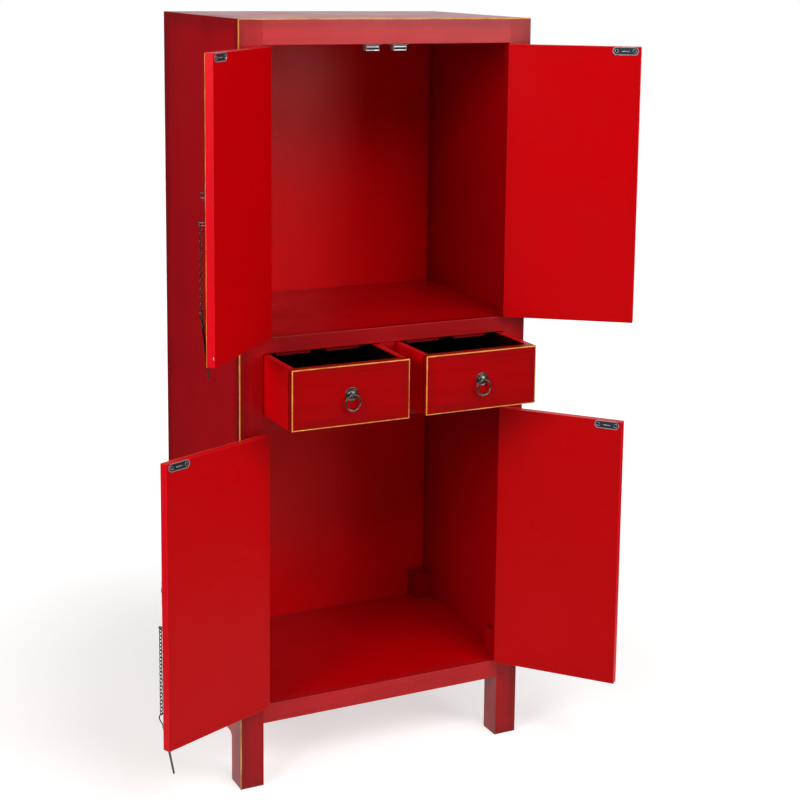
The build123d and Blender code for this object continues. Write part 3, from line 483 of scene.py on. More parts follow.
class Finishes:
    """The finishes of the whole cabinet."""

    def __init__(self) -> None:
        """Make the shared materials once."""
        self.frame = Lacquer("brushed_lacquer_frame", coat="AA0008", deep="740005", streak_share=0.45)
        # a lighter copy of the frame's lacquer for the head and bottom rails: painted light from the lamps
        # above the front
        self.rail = Lacquer("brushed_lacquer_rail_painted_light", coat="B81016", deep="84080C", streak_share=0.45,
                            sheen=0.3)
        # the side panels carry painted shade towards the cabinet's back
        self.side = Lacquer("brushed_lacquer_side", coat="BA0010", deep="9E000B", back_shade_share=0.1,
                            rub_reach=26 * MM, streak_share=0.3, sheen=0.2)
        self.inside = Lacquer("brushed_lacquer_inside", coat="C00006", deep="A00005", rub_share=0.12,
                              streak_share=0.12, peel=8 * MM, peel_height=0.2 * MM, sheen=0.2)
        # a lighter copy of the inside's lacquer for the back panel: painted light
        self.back = Lacquer("brushed_lacquer_back_painted_light", coat="DC0008", deep="BC0006", rub_share=0.12,
                            streak_share=0.12, sheen=0.15)
        # the door's coat shows on its ends and edges, brighter than its faces: a painted highlight in part
        self.door = Lacquer("brushed_lacquer_door", coat="E00A1C", deep="A80004", rub_share=0.04,
                            cloud_share=0.2, streak_share=0.08, bare="E41420", sheen=0.09, roughness=0.25)
        self.drawer = Lacquer("brushed_lacquer_drawer", coat="A80004", deep="740003", rub_share=0.2,
                              streak_share=0.5, sheen=0.07)
        self.drawer_side = Lacquer("brushed_lacquer_drawer_side", coat="DC0008", deep="B40006",
                                   rub_share=0.1, streak_share=0.2, sheen=0.12)
        self.black = Lacquer("black_lacquer", coat="0A0506", deep="050203", rub="120808", bare="1A0C0C",
                             cloud_share=0.6, roughness=0.45)
        self.gold = GoldPaint().material()
        self.brass = Metal("aged_brass", "807C72", "1E1F1C", 0.27, 8 * MM, 0.75).material()
        self.chain = Metal("aged_brass_chain", "6E6A55", "29251C", 0.3, 10 * MM, 0.7).material()
        self.steel = Metal("zinc_plated_steel", "A4A8AC", "6A6E74", 0.26, 12 * MM, 0.5).material()
        # a lighter copy of the plated steel for the strike plates' rims, hole rings and ribs: a painted
        # highlight
        self.bright = Metal("zinc_steel_painted_highlight", "C8CCD2", "8A8E96", 0.42, 6 * MM, 0.4).material()
        self.pewter = Metal("dulled_zinc_steel", "5E6470", "2C2E36", 0.32, 9 * MM, 0.6).material()
        self.screw = Metal("blackened_steel", "3A3634", "161312", 0.36, 3 * MM).material()
        self.magnet = Metal("ferrite_magnet", "3A3432", "1E1A18", 0.5, 4 * MM).material()
        self.nylon = Nylon().material()


# ======== shaping tools ========
def finished(bm: Shape, name: str, material: Material, smooth_angle: float = 35.0,
             place: Optional[Matrix] = None) -> Piece:
    """Turn a bmesh into a finished piece at the origin, with its place in its mesh.

    Args:
        bm: The shape. It is freed.
        name: The piece's name.
        material: Its material.
        smooth_angle: Edges sharper than this many degrees stay sharp.
        place: Where the shape goes, from its own frame.

    Returns:
        The new object.
    """
    if place is not None:
        bmesh.ops.transform(bm, matrix=place, verts=bm.verts)
    bmesh.ops.remove_doubles(bm, verts=bm.verts, dist=0.5e-6)
    bmesh.ops.recalc_face_normals(bm, faces=bm.faces)
    for face in bm.faces:
        face.smooth = True
    for edge in bm.edges:
        if len(edge.link_faces) == 2 and edge.calc_face_angle(0.0) > math.radians(smooth_angle):
            edge.smooth = False
    mesh = bpy.data.meshes.new(name)
    bm.to_mesh(mesh)
    bm.free()
    mesh.materials.append(material)
    piece = bpy.data.objects.new(name, mesh)
    bpy.context.scene.collection.objects.link(piece)
    return piece


def fit(piece: Piece, body: str, replaced: str = "") -> None:
    """Let a piece ride on a body, in place of a CAD node if it has one.

    Args:
        piece: The piece.
        body: The body that carries it.
        replaced: The CAD node that it stands for.
    """
    if replaced:
        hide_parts(replaced)
    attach(piece, body)
    log.info("fitted %s", piece.name)


def add_block(bm: Shape, middle: Vector, size: Sequence[float]) -> list:
    """Add a plain block to a shape, and return its corners."""
    place = Matrix.Translation(middle) @ Matrix.Diagonal((*size, 1.0))
    return bmesh.ops.create_cube(bm, size=1.0, matrix=place)["verts"]


def soften(bm: Shape, items: list, offset: float, segments: int, affect: str = "EDGES") -> None:
    """Round edges, or the corners of a profile."""
    bmesh.ops.bevel(bm, geom=items, offset=offset, offset_type="OFFSET", segments=segments, profile=0.5,
                    affect=affect, material=-1)


def pull(bm: Shape, edges: list) -> tuple[list, list]:
    """Extrude open edges in place, and return the new corners and edges."""
    grown = bmesh.ops.extrude_edge_only(bm, edges=edges)["geom"]
    return ([item for item in grown if isinstance(item, bmesh.types.BMVert)],
            [item for item in grown if isinstance(item, bmesh.types.BMEdge)])


def thicken(bm: Shape, thickness: float) -> None:
    """Turn a flat shape into a plate, up along z."""
    grown = bmesh.ops.extrude_face_region(bm, geom=list(bm.faces))["geom"]
    bmesh.ops.translate(bm, vec=(0, 0, thickness),
                        verts=[item for item in grown if isinstance(item, bmesh.types.BMVert)])


def cut(bm: Shape, point: Sequence[float], normal: Sequence[float], clear: bool) -> None:
    """Cut a whole shape at a plane, and clear what lies beyond it if asked."""
    bmesh.ops.bisect_plane(bm, geom=list(bm.verts) + list(bm.edges) + list(bm.faces), plane_co=point,
                           plane_no=normal, clear_outer=clear)


def film(piece: Piece) -> Piece:
    """Give an open painted line its thickness, from its outer face inwards."""
    wall = piece.modifiers.new("film", "SOLIDIFY")
    wall.thickness = PAINT_BODY
    wall.offset = -1.0
    return piece


def path_frames(points: Sequence[Vector], closed: bool = False) -> list[Matrix]:
    """Frames along a path, each with its z along the path and turned as little as can be from the last.

    Args:
        points: The path's points.
        closed: Whether the last point joins the first.

    Returns:
        One placing matrix for each point.
    """
    count = len(points)
    frames = []
    side = None
    for i, point in enumerate(points):
        before = points[(i - 1) % count] if closed or i else point
        after = points[(i + 1) % count] if closed or i < count - 1 else point
        heading = (after - before).normalized()
        if side is None:
            side = heading.orthogonal().normalized()
        side = (side - heading * side.dot(heading)).normalized()
        other = heading.cross(side)
        frames.append(Matrix((side, other, heading)).transposed().to_4x4())
        frames[-1].translation = point
    return frames


def draw_wire(bm: Shape, points: Sequence[Vector], radii: Sequence[float], sides: int = 10,
              closed: bool = False) -> None:
    """Draw a round wire along a path.

    Args:
        bm: The mesh that gets the wire.
        points: Its centre line.
        radii: Its radius at each point.
        sides: Faces round it.
        closed: Whether it is a closed loop.
    """
    places = [frame @ Matrix.Scale(radius, 4)
              for frame, radius in zip(path_frames(points, closed), radii)]
    for place, point in zip(places, points):
        place.translation = point
    ring = bmesh.ops.create_circle(bm, cap_ends=False, radius=1.0, segments=sides, matrix=places[0])["verts"]
    first = edges = list({edge for vert in ring for edge in vert.link_edges})
    for last, place in zip(places, places[1:]):
        verts, edges = pull(bm, edges)
        bmesh.ops.transform(bm, matrix=place @ last.inverted(), verts=verts)
    if closed:
        bmesh.ops.bridge_loops(bm, edges=first + edges)
    else:
        for rim in (first, edges):
            bmesh.ops.contextual_create(bm, geom=rim)


def arc(centre: Vector, across: Vector, up: Vector, radius: float, start: float, end: float,
        steps: int) -> list[Vector]:
    """Points along a circular arc.

    Args:
        centre: Its centre.
        across: Direction of angle 0.
        up: Direction of angle 90.
        radius: Its radius.
        start: First angle in degrees.
        end: Last angle in degrees.
        steps: Number of steps between them.

    Returns:
        The points.
    """
    angles = [math.radians(start + (end - start) * i / steps) for i in range(steps + 1)]
    return [centre + across * (radius * math.cos(a)) + up * (radius * math.sin(a)) for a in angles]


def turn_profile(bm: Shape, profile: Sequence[tuple[float, float]], place: Matrix,
                 steps: int = 48) -> None:
    """Turn a profile of radius and height points about z, as on a lathe.

    Args:
        bm: The mesh that gets the shape.
        profile: Points of radius and height, from the axis out and back.
        place: Where the turned piece goes.
        steps: Faces round it.
    """
    verts = [bm.verts.new((radius, 0, height)) for radius, height in profile]
    edges = [bm.edges.new(pair) for pair in zip(verts, verts[1:])]
    bmesh.ops.spin(bm, geom=verts + edges, cent=(0, 0, 0), axis=(0, 0, 1), angle=2 * math.pi, steps=steps,
                   use_merge=True)
    turned = {vert for vert in bm.verts if not vert.tag}
    bmesh.ops.remove_doubles(bm, verts=list(turned), dist=SAME)
    turned = [vert for vert in bm.verts if not vert.tag]
    bmesh.ops.transform(bm, matrix=place, verts=turned)
    for vert in turned:
        vert.tag = True


def waver(point: Vector, seed: float, size: float) -> float:
    """A small steady wander for a hand-drawn edge, the same on each run."""
    return noise.noise(point * 18 + Vector((seed, seed, seed))) * size


# ======== painted lines ========
@dataclass(frozen=True)
class CornerLine:
    """A gold line painted along a rounded outer corner, a little way over both faces."""

    corner: Vector  # where the two faces would meet, at the line's start
    along: Vector  # unit direction of the line
    length: float
    first: Vector  # unit direction from the corner into the first face
    second: Vector  # unit direction from the corner into the second face
    first_width: float
    second_width: float
    radius: float

    def build(self, name: str, material: Material) -> Piece:
        """Build the line.

        Args:
            name: The piece's name.
            material: The paint.

        Returns:
            The painted line.
        """
        bm = bmesh.new()
        outward = -(self.first + self.second) * PAINT_PROUD
        corner = self.corner + outward
        ends = (corner + self.first * self.first_width, corner, corner + self.second * self.second_width)
        verts = [bm.verts.new(point) for point in ends]
        for pair in zip(verts, verts[1:]):
            bm.edges.new(pair)
        soften(bm, [verts[1]], self.radius, 5, affect="VERTICES")
        edges = list(bm.edges)
        steps = max(2, round(self.length / LINE_STEP))
        for _ in range(steps):
            verts, edges = pull(bm, edges)
            bmesh.ops.translate(bm, vec=self.along * (self.length / steps), verts=verts)
        for vert in bm.verts:
            offset = vert.co - corner
            if abs(offset.dot(self.first) - self.first_width) < SAME:
                vert.co += self.first * waver(vert.co, 3.1, LINE_WAVER)
            elif abs(offset.dot(self.second) - self.second_width) < SAME:
                vert.co += self.second * waver(vert.co, 7.7, LINE_WAVER)
        return film(finished(bm, name, material))


@dataclass(frozen=True)
class RimLine:
    """A gold line painted over the rounded edges round a board's front face, which is its low y side."""

    low: Vector
    high: Vector
    radius: float = 1.2 * MM
    face_width: float = 2.1 * MM
    side_width: float = 0.1 * MM
    round_all: bool = False

    def build(self, name: str, material: Material, place: Optional[Matrix] = None,
              gaps: Sequence[tuple[float, float, float]] = ()) -> Piece:
        """Build the line round the face.

        Args:
            name: The piece's name.
            material: The paint.
            place: The board's frame, where it isn't the cabinet's.
            gaps: Places at the hinges that stay bare, each the sign of their x, and a low and a high z.

        Returns:
            The painted line.
        """
        bm = bmesh.new()
        grown = Vector((PAINT_PROUD,) * 3)
        low, high = self.low - grown, self.high + grown
        add_block(bm, (low + high) / 2, high - low)
        edges = [edge for edge in bm.edges
                 if self.round_all or all(abs(vert.co.y - low.y) < SAME for vert in edge.verts)]
        soften(bm, edges, self.radius + PAINT_PROUD, 4)
        fronts = (face for face in bm.faces if face.normal.y < -0.99)
        front = max(fronts, key=lambda face: face.calc_area())
        bmesh.ops.inset_region(bm, faces=[front], thickness=self.face_width - self.radius,
                               use_even_offset=True)
        bmesh.ops.delete(bm, geom=[front], context="FACES")
        cut(bm, (0, self.low.y + self.radius + self.side_width, 0), (0, 1, 0), True)
        for side, bottom, top in gaps:
            for height in (bottom, top):
                cut(bm, (0, 0, height), (0, 0, 1), False)
            bare = [face for face in bm.faces if bottom < face.calc_center_median().z < top
                    and face.calc_center_median().x * side > 0]
            bmesh.ops.delete(bm, geom=bare, context="FACES")
        return film(finished(bm, name, material, place=place))


# ======== carcass ========
@dataclass
class Carcass:
    """The cabinet's boards, dressed with lacquer and painted lines."""

    finishes: Finishes
    corner_radius: float = 1.5 * MM
    line_width: float = 2.2 * MM
    catch_offset: float = 31 * MM
    pole_width: float = 28 * MM
    pole_height: float = 9 * MM
    strip_height: float = 1.7 * MM
    strip_rise: float = 3.24 * MM  # middle of a steel strip above or below the magnet's middle
    magnet_height: float = 8.46 * MM
    magnet_recess: float = 0.5 * MM
    side_skin: float = 6 * MM  # what lies deeper than this in a side or the top is an inner face

    def dress(self) -> None:
        """Give each board its lacquer."""
        kinds = {
            self.finishes.frame: {
                "left_front_stile": Grain.UPRIGHT, "right_front_stile": Grain.UPRIGHT,
                "mid_rail": Grain.ACROSS, "drawer_rail": Grain.ACROSS, "drawer_divider": Grain.UPRIGHT,
                "leg_blocks": Grain.UPRIGHT,
            },
            self.finishes.rail: {"head_rail": Grain.ACROSS, "bottom_rail": Grain.ACROSS},
            self.finishes.back: {"back_panel": Grain.UPRIGHT},
            self.finishes.side: {"left_side_panel": Grain.UPRIGHT, "right_side_panel": Grain.UPRIGHT,
                                 "top_panel": Grain.ACROSS},
            self.finishes.inside: {
                "upper_floor": Grain.ACROSS, "drawer_bay_floor": Grain.DEEP, "bottom_board": Grain.ACROSS,
                "drawer_guides": Grain.DEEP, "drawer_stops": Grain.ACROSS, "catch_cleats": Grain.ACROSS,
            },
        }
        inner = Vector((SIDE_X - self.side_skin, BACK_Y, TOP_Z / 2 - self.side_skin))
        inside = Zone(-inner, inner, "AC0005")
        for finish, boards in kinds.items():
            for node, grain in boards.items():
                zones = [inside] if finish is self.finishes.side else []
                dress_node(node, finish.material(CABINET_BOX, grain, zones))
                log.info("dressed %s", node)
        for material, nodes in ((self.finishes.nylon, ("catch_bodies",)),
                                (self.finishes.brass, ("hinge_frame_leaves", "hinge_pins")),
                                (self.finishes.screw, ("cabinet_screws", "back_panel_screws"))):
            for node in nodes:
                dress_node(node, material)

    def fit_catches(self) -> None:
        """Fit each catch with a ferrite magnet between two steel strips, in place of its plain pole plate."""
        bm = bmesh.new()
        low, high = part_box("catch_pole_plates")
        depth = high.y - low.y
        for x in (-self.catch_offset, self.catch_offset):
            for ceiling in (high.z, low.z + self.pole_height):
                middle = Vector((x, (low.y + high.y) / 2, ceiling - self.pole_height / 2))
                parts = [(0.0, self.magnet_height, depth - self.magnet_recess, 1)]
                parts += [(end * self.strip_rise, self.strip_height, depth, 0) for end in (-1, 1)]
                for rise, tall, deep, material in parts:
                    cube = add_block(bm, middle + Vector((0, (depth - deep) / 2, rise)),
                                     (self.pole_width, deep, tall))
                    for face in {face for vert in cube for face in vert.link_faces}:
                        face.material_index = material
        piece = finished(bm, "catch_magnets", self.finishes.steel)
        piece.data.materials.append(self.finishes.magnet)
        fit(piece, "cabinet", "catch_pole_plates")

    def paint_lines(self) -> None:
        """Paint the gold lines down the left front corner and along the top front edge."""
        up, right, back = Vector((0, 0, 1)), Vector((1, 0, 0)), Vector((0, 1, 0))
        inset, thin = self.corner_radius, self.line_width * 0.8
        left = CornerLine(Vector((-SIDE_X, FRONT_Y, 0)), up, TOP_Z - inset, right, back,
                          self.line_width, self.line_width, inset + PAINT_PROUD)
        top = CornerLine(Vector((-SIDE_X + inset, FRONT_Y, TOP_Z)), right, 2 * (SIDE_X - inset), back, -up,
                         thin, thin, inset + PAINT_PROUD)
        for line, name in ((left, "left_corner_gold_line"), (top, "top_edge_gold_line")):
            fit(line.build(name, self.finishes.gold), "cabinet")


def dress_node(node: str, material: Material) -> None:
    """Put a material on all of a CAD node's slots."""
    for slot in frame["nodes"][node].material_slots:
        slot.material = material


# ======== doors ========
@dataclass(frozen=True)
class DoorPlace:
    """Where a door hangs and how far it stands open."""

    name: str
    side: int  # -1 left, 1 right
    opened: float  # degrees
    base: float
    top: float
    chain_drop: Optional[float] = None
    chain_links: int = 0
    chip_rise: Optional[float] = None  # height above the door's foot of a chip in its free edge

    axis_x = 277.5 * MM
    axis_y = -228 * MM
    start = 0.5 * MM
    width = 276.3 * MM
    face_depth = 1.0 * MM
    thickness = 17.5 * MM

    @property
    def along(self) -> Vector:
        """Unit vector from the hinge axis to the free edge."""
        angle = math.radians(self.opened)
        return Vector((-self.side * math.cos(angle), -math.sin(angle), 0))

    @property
    def outward(self) -> Vector:
        """Unit vector out of the outer face."""
        angle = math.radians(self.opened)
        return Vector((self.side * math.sin(angle), -math.cos(angle), 0))

    @property
    def middle(self) -> float:
        """Height of the door's middle."""
        return (self.base + self.top) / 2

    def point(self, along: float, out: float, height: float) -> Vector:
        """A point on the door.

        Args:
            along: Distance from the hinge axis towards the free edge.
            out: Distance out of the outer face's side, from the hinge axis.
            height: Height above the floor.

        Returns:
            The point in the cabinet's frame.
        """
        axis = Vector((self.side * self.axis_x, self.axis_y, height))
        return axis + self.along * along + self.outward * out

    def frame_at(self, along: float, out: float, height: float) -> Matrix:
        """A placing matrix on the door: x along it, y up, z out of its outer face."""
        place = Matrix((self.along, Vector((0, 0, 1)), self.outward)).transposed().to_4x4()
        place.translation = self.point(along, out, height)
        return place

    @property
    def board(self) -> Board:
        """The door panel's box."""
        middle = self.point(self.start + self.width / 2, -self.face_depth - self.thickness / 2, self.middle)
        turn = math.radians(self.opened) * self.side
        return Board(middle, Vector((self.width / 2, self.thickness / 2, (self.top - self.base) / 2)), turn)


@dataclass
class Door:
    """A door panel with its painted line, strike plate, half-round lock plate and staples."""

    finishes: Finishes
    place: DoorPlace
    hinge_inset: float = 75 * MM
    groove: float = 43.8 * MM
    plate_radius: float = 25 * MM
    plate_inset: float = 1 * MM
    plate_thickness: float = 1 * MM
    staple_inset: float = 13.5 * MM
    staple_spacing: float = 9.5 * MM
    staple_reach: float = 15 * MM
    eye_inset: float = 7.5 * MM
    eye_spacing: float = 5 * MM
    eye_reach: float = 17 * MM
    wire: float = 1.25 * MM
    bend: float = 2.6 * MM
    lock_rise: float = 29.5 * MM
    strike_length: float = 54 * MM
    strike_height: float = 17 * MM
    strike_thickness: float = 1 * MM
    strike_inset: float = 5.5 * MM
    strike_top_inset: float = 0.5 * MM
    screw_spacing: float = 37.4 * MM
    rim_width: float = 1.5 * MM
    rim_slope: float = 0.3 * MM
    rim_height: float = 0.45 * MM
    hole_ring: float = 3.4 * MM
    bead_radius: float = 0.45 * MM
    bead_rise: float = 0.15 * MM
    rib_drop: float = 0.6 * MM
    soft_edge: float = 0.35 * MM
    staple_depth: float = 9 * MM  # how far its legs go into the door
    rib_size: tuple[float, float, float] = (17 * MM, 1.8 * MM, 0.7 * MM)

    def dress(self) -> None:
        """Give the CAD pieces of the door their finishes."""
        name, board = self.place.name, self.place.board
        # the sawn ends and edges are the brightest red, a lighter lacquer in part and a painted highlight in
        # part; the inner face is plain red, and the outer face carries the darker, antiqued coat of the
        # drawer fronts
        skin = Vector((0.6 * MM, 0, 0.6 * MM))
        half = board.half + Vector((0, 1 * MM, 0))
        inner = Zone(Vector((-half.x, board.half.y - skin.x, -half.z)) + skin, half - skin, "BC0005")
        outer = Zone(-half, Vector((half.x, -board.half.y + 1.2 * MM, half.z)), "9C0007")
        zones = [inner, outer]
        if self.place.chip_rise is not None:
            chip = Vector((half.x, board.half.y - 2.4 * MM, self.place.chip_rise - board.half.z))
            reach = Vector((1.2, 0.8, 2.6)) * MM
            zones.append(Zone(chip - reach, chip + reach, "F0C4C8", plain=True))
        dress_node(f"{name}_door_panel", self.finishes.door.material(board, Grain.UPRIGHT, zones))
        dress_node(f"{name}_door_hinge_leaves", self.finishes.brass)
        dress_node(f"{name}_door_screws", self.finishes.screw)
        log.info("dressed %s door", name)

    def paint_line(self) -> None:
        """Paint the gold line round the outer face, bare where the hinge knuckles sit in the edge."""
        place, board = self.place, self.place.board
        line = RimLine(-board.half, board.half, round_all=True)
        spot = Matrix.Translation(board.middle) @ Matrix.Rotation(board.turn, 4, "Z")
        reach = board.half.z - self.hinge_inset
        gaps = [(place.side, middle - self.groove / 2, middle + self.groove / 2)
                for middle in (-reach, reach)]
        piece = line.build(f"{place.name}_door_gold_line", self.finishes.gold, spot, gaps)
        fit(piece, f"{place.name}_door")

    def fit_strike(self) -> None:
        """Press the catch's strike plate: a long round-ended plate with a raised rim, holes and a rib."""
        place = self.place
        along = place.start + place.width - self.strike_inset - self.strike_length / 2
        height = place.top - self.strike_top_inset - self.strike_height / 2
        spot = (place.frame_at(along, -place.face_depth - place.thickness, height)
                @ Matrix.Rotation(math.pi, 4, "Y"))
        bm = bmesh.new()
        self.stadium(bm, self.strike_length, self.strike_height, self.strike_thickness)
        top = max(bm.faces, key=lambda face: face.calc_center_median().z)
        for step in (self.rim_width, self.rim_slope):
            bmesh.ops.inset_region(bm, faces=[top], thickness=step, use_even_offset=True)
        bmesh.ops.translate(bm, vec=(0, 0, -self.rim_height), verts=top.verts)
        top.material_index = 1
        floor = self.strike_thickness - self.rim_height
        for end in (-1, 1):
            hole = end * self.screw_spacing / 2
            ring = bmesh.ops.create_circle(bm, radius=self.bead_radius, segments=10)["verts"]
            bmesh.ops.rotate(bm, verts=ring, matrix=Matrix.Rotation(math.pi / 2, 3, "X"))
            bmesh.ops.translate(bm, verts=ring, vec=(hole + self.hole_ring, 0, floor + self.bead_rise))
            loop = list({edge for vert in ring for edge in vert.link_edges})
            bmesh.ops.spin(bm, geom=ring + loop, cent=(hole, 0, 0), axis=(0, 0, 1), angle=math.tau,
                           steps=28, use_merge=True)
        rib = add_block(bm, Vector((0, -self.rib_drop, floor)), self.rib_size)
        ridge = [edge for edge in {e for vert in rib for e in vert.link_edges}
                 if all(vert.co.z > floor for vert in edge.verts)]
        soften(bm, ridge, 0.3 * MM, 2)
        # the rim, hole rings and rib take the lighter steel, a painted highlight; the sunk face takes the
        # darker steel
        piece = finished(bm, f"{place.name}_door_pressed_strike", self.finishes.bright, place=spot)
        piece.data.materials.append(self.finishes.pewter)
        fit(piece, f"{place.name}_door", f"{place.name}_strike_plate")

    @staticmethod
    def stadium(bm: Shape, length: float, width: float, thickness: float) -> None:
        """Make a flat plate with round ends.

        Args:
            bm: The mesh that gets it.
            length: Its length along x.
            width: Its width along y.
            thickness: Its thickness along z, up from 0.
        """
        half_step = Matrix.Rotation(math.pi / 48, 4, "Z")
        bmesh.ops.create_circle(bm, cap_ends=True, radius=width / 2, segments=48, matrix=half_step)
        for end in (-1, 1):
            bmesh.ops.translate(bm, vec=(end * (length - width) / 2, 0, 0),
                                verts=[vert for vert in bm.verts if vert.co.x * end > 0])
        thicken(bm, thickness)

    def fit_lock(self) -> None:
        """Build the half-round lock plate and its wire staples."""
        place = self.place
        free_edge = place.start + place.width
        height = place.middle + self.lock_rise
        bm = bmesh.new()
        bmesh.ops.create_circle(bm, cap_ends=True, radius=self.plate_radius, segments=64)
        cut(bm, (0, 0, 0), (1, 0, 0), True)
        thicken(bm, self.plate_thickness)
        rim = [edge for edge in bm.edges
               if all(vert.co.z > self.plate_thickness / 2 for vert in edge.verts)]
        soften(bm, rim, self.soft_edge, 3)
        spot = place.frame_at(free_edge - self.plate_inset, -place.face_depth, height)
        bmesh.ops.transform(bm, matrix=spot, verts=bm.verts)
        low = height - self.staple_spacing / 2
        self.draw_staple(bm, self.staple_inset, low, self.staple_spacing, self.staple_reach)
        if place.chain_drop is not None:
            self.draw_staple(bm, self.eye_inset, place.middle - place.chain_drop, self.eye_spacing,
                             self.eye_reach)
        piece = finished(bm, f"{place.name}_door_lock_plate", self.finishes.brass)
        fit(piece, f"{place.name}_door", f"{place.name}_lock_hasp")

    def draw_staple(self, bm: Shape, inset: float, low: float, spacing: float, reach: float) -> None:
        """Draw one wire staple, standing out of the door.

        Args:
            bm: The mesh that gets it.
            inset: Distance from the free edge.
            low: Height of its lower leg.
            spacing: Distance between its legs.
            reach: How far it stands out of the door's face.
        """
        place = self.place
        along = place.start + place.width - inset
        up, out = Vector((0, 0, 1)), place.outward
        foot = place.point(along, -place.face_depth, low)
        turn = foot + out * (reach - self.bend)
        points = [foot - out * self.staple_depth, foot]
        points += arc(turn + up * self.bend, -up, out, self.bend, 0, 90, 6)
        points += arc(turn + up * (spacing - self.bend), -up, out, self.bend, 90, 180, 6)
        points += [foot + up * spacing, foot + up * spacing - out * self.staple_depth]
        draw_wire(bm, points, [self.wire] * len(points), sides=12)


# ======== lock chains and pins ========
@dataclass
class LockChain:
    """A chain of oval wire links with the lock pin on its end."""

    finishes: Finishes
    place: DoorPlace
    eye_inset: float = 7.5 * MM
    standoff: float = 13 * MM
    link_length: float = 10.9 * MM
    link_width: float = 7.2 * MM
    link_wire: float = 0.85 * MM
    gap: float = 0.1 * MM
    staple_wire: float = 1.25 * MM
    pin_wire: float = 1.2 * MM
    pin_length: float = 143 * MM
    loop_height: float = 30 * MM
    loop_radius: float = 6.5 * MM
    collar_radius: float = 3.2 * MM
    collar_height: float = 9 * MM
    collar_edge: float = 0.7 * MM
    leg_spread: float = 1.9 * MM
    tip_spread: float = 0.9 * MM
    lean: float = 13.0  # degrees off plumb, the pin's point towards the hinges
    loop_gap: float = 0.35 * MM

    @property
    def hang(self) -> Vector:
        """The point on the chain eye's wire that the chain hangs from."""
        place = self.place
        along = place.start + place.width - self.eye_inset
        return place.point(along, self.standoff - place.face_depth, place.middle - place.chain_drop)

    @property
    def pitch(self) -> float:
        """Distance from one link's middle to the next."""
        return self.link_length - 4 * self.link_wire - self.gap

    @property
    def first_middle(self) -> float:
        """Height of the first link's middle above the chain eye."""
        return self.staple_wire + self.link_wire + self.gap - (self.link_length / 2 - self.link_wire)

    def link_points(self, middle: Vector, across: Vector) -> list[Vector]:
        """The centre line of one link.

        Args:
            middle: The link's middle.
            across: Unit direction of its width.

        Returns:
            The points of a closed oval.
        """
        up = Vector((0, 0, 1))
        straight = (self.link_length - self.link_width) / 2
        radius = self.link_width / 2 - self.link_wire
        return (arc(middle + up * straight, across, up, radius, 0, 180, 8)
                + arc(middle - up * straight, across, up, radius, 180, 360, 8))

    def build(self) -> None:
        """Build the chain and its pin."""
        place = self.place
        bm = bmesh.new()
        for number in range(place.chain_links):
            across = place.along if number % 2 == 0 else place.outward
            middle = self.hang + Vector((0, 0, self.first_middle - number * self.pitch))
            points = self.link_points(middle, across)
            draw_wire(bm, points, [self.link_wire] * len(points), sides=8, closed=True)
        chain = finished(bm, f"{place.name}_chain_links", self.finishes.chain, smooth_angle=60)
        fit(chain, f"{place.name}_chain", f"{place.name}_lock_chain")
        self.build_pin()

    def build_pin(self) -> None:
        """Build the lock pin: a teardrop loop, a collar and two legs of folded wire."""
        place = self.place
        wire_reach = self.link_length / 2 - self.link_wire
        last_wire = self.first_middle - (place.chain_links - 1) * self.pitch - wire_reach
        leaning = Matrix.Rotation(math.radians(-self.lean), 3, place.outward)
        across, up = leaning @ place.along, leaning @ Vector((0, 0, 1))
        top = self.hang + Vector((0, 0, last_wire)) + up * (self.link_wire + self.pin_wire + self.loop_gap)
        neck = -self.loop_height + 2 * self.pin_wire
        centre = -self.loop_radius
        lean = math.degrees(math.asin(self.loop_radius / (centre - neck)))
        bm = bmesh.new()
        points = arc(top + up * centre, across, up, self.loop_radius, -lean, 180 + lean, 24)
        points = [top + up * neck + across * 0.6 * MM, *points, top + up * neck - across * 0.6 * MM]
        draw_wire(bm, points, [self.pin_wire] * len(points), sides=12)
        collar_base = neck - self.collar_height
        tip = -self.pin_length + 2 * self.pin_wire
        for half in (-1, 1):
            # height and distance from the pin's middle, from the collar to the tip
            stations = ((neck + 1 * MM, 0.8 * MM), (collar_base, self.leg_spread),
                        ((collar_base + tip) / 2, (self.leg_spread + self.tip_spread) / 2),
                        (tip + 2 * MM, self.tip_spread), (tip, self.tip_spread * 0.7))
            leg = [top + up * height + across * half * spread for height, spread in stations]
            draw_wire(bm, leg, [self.pin_wire] * 4 + [self.pin_wire * 0.55], sides=12)
        for vert in bm.verts:
            vert.tag = True
        wide, high, edge = self.collar_radius, self.collar_height, self.collar_edge
        # a groove runs round the collar's middle
        profile = [(0, 0), (wide - edge, 0), (wide, edge), (wide, high * 0.45), (wide * 0.9, high / 2),
                   (wide, high * 0.55), (wide, high - edge), (wide - edge, high), (0, high)]
        turn_profile(bm, profile, Matrix.Translation(top + up * collar_base) @ leaning.to_4x4(), steps=24)
        pin = finished(bm, f"{place.name}_folded_lock_pin", self.finishes.chain, smooth_angle=50)
        fit(pin, f"{place.name}_pin", f"{place.name}_lock_pin")


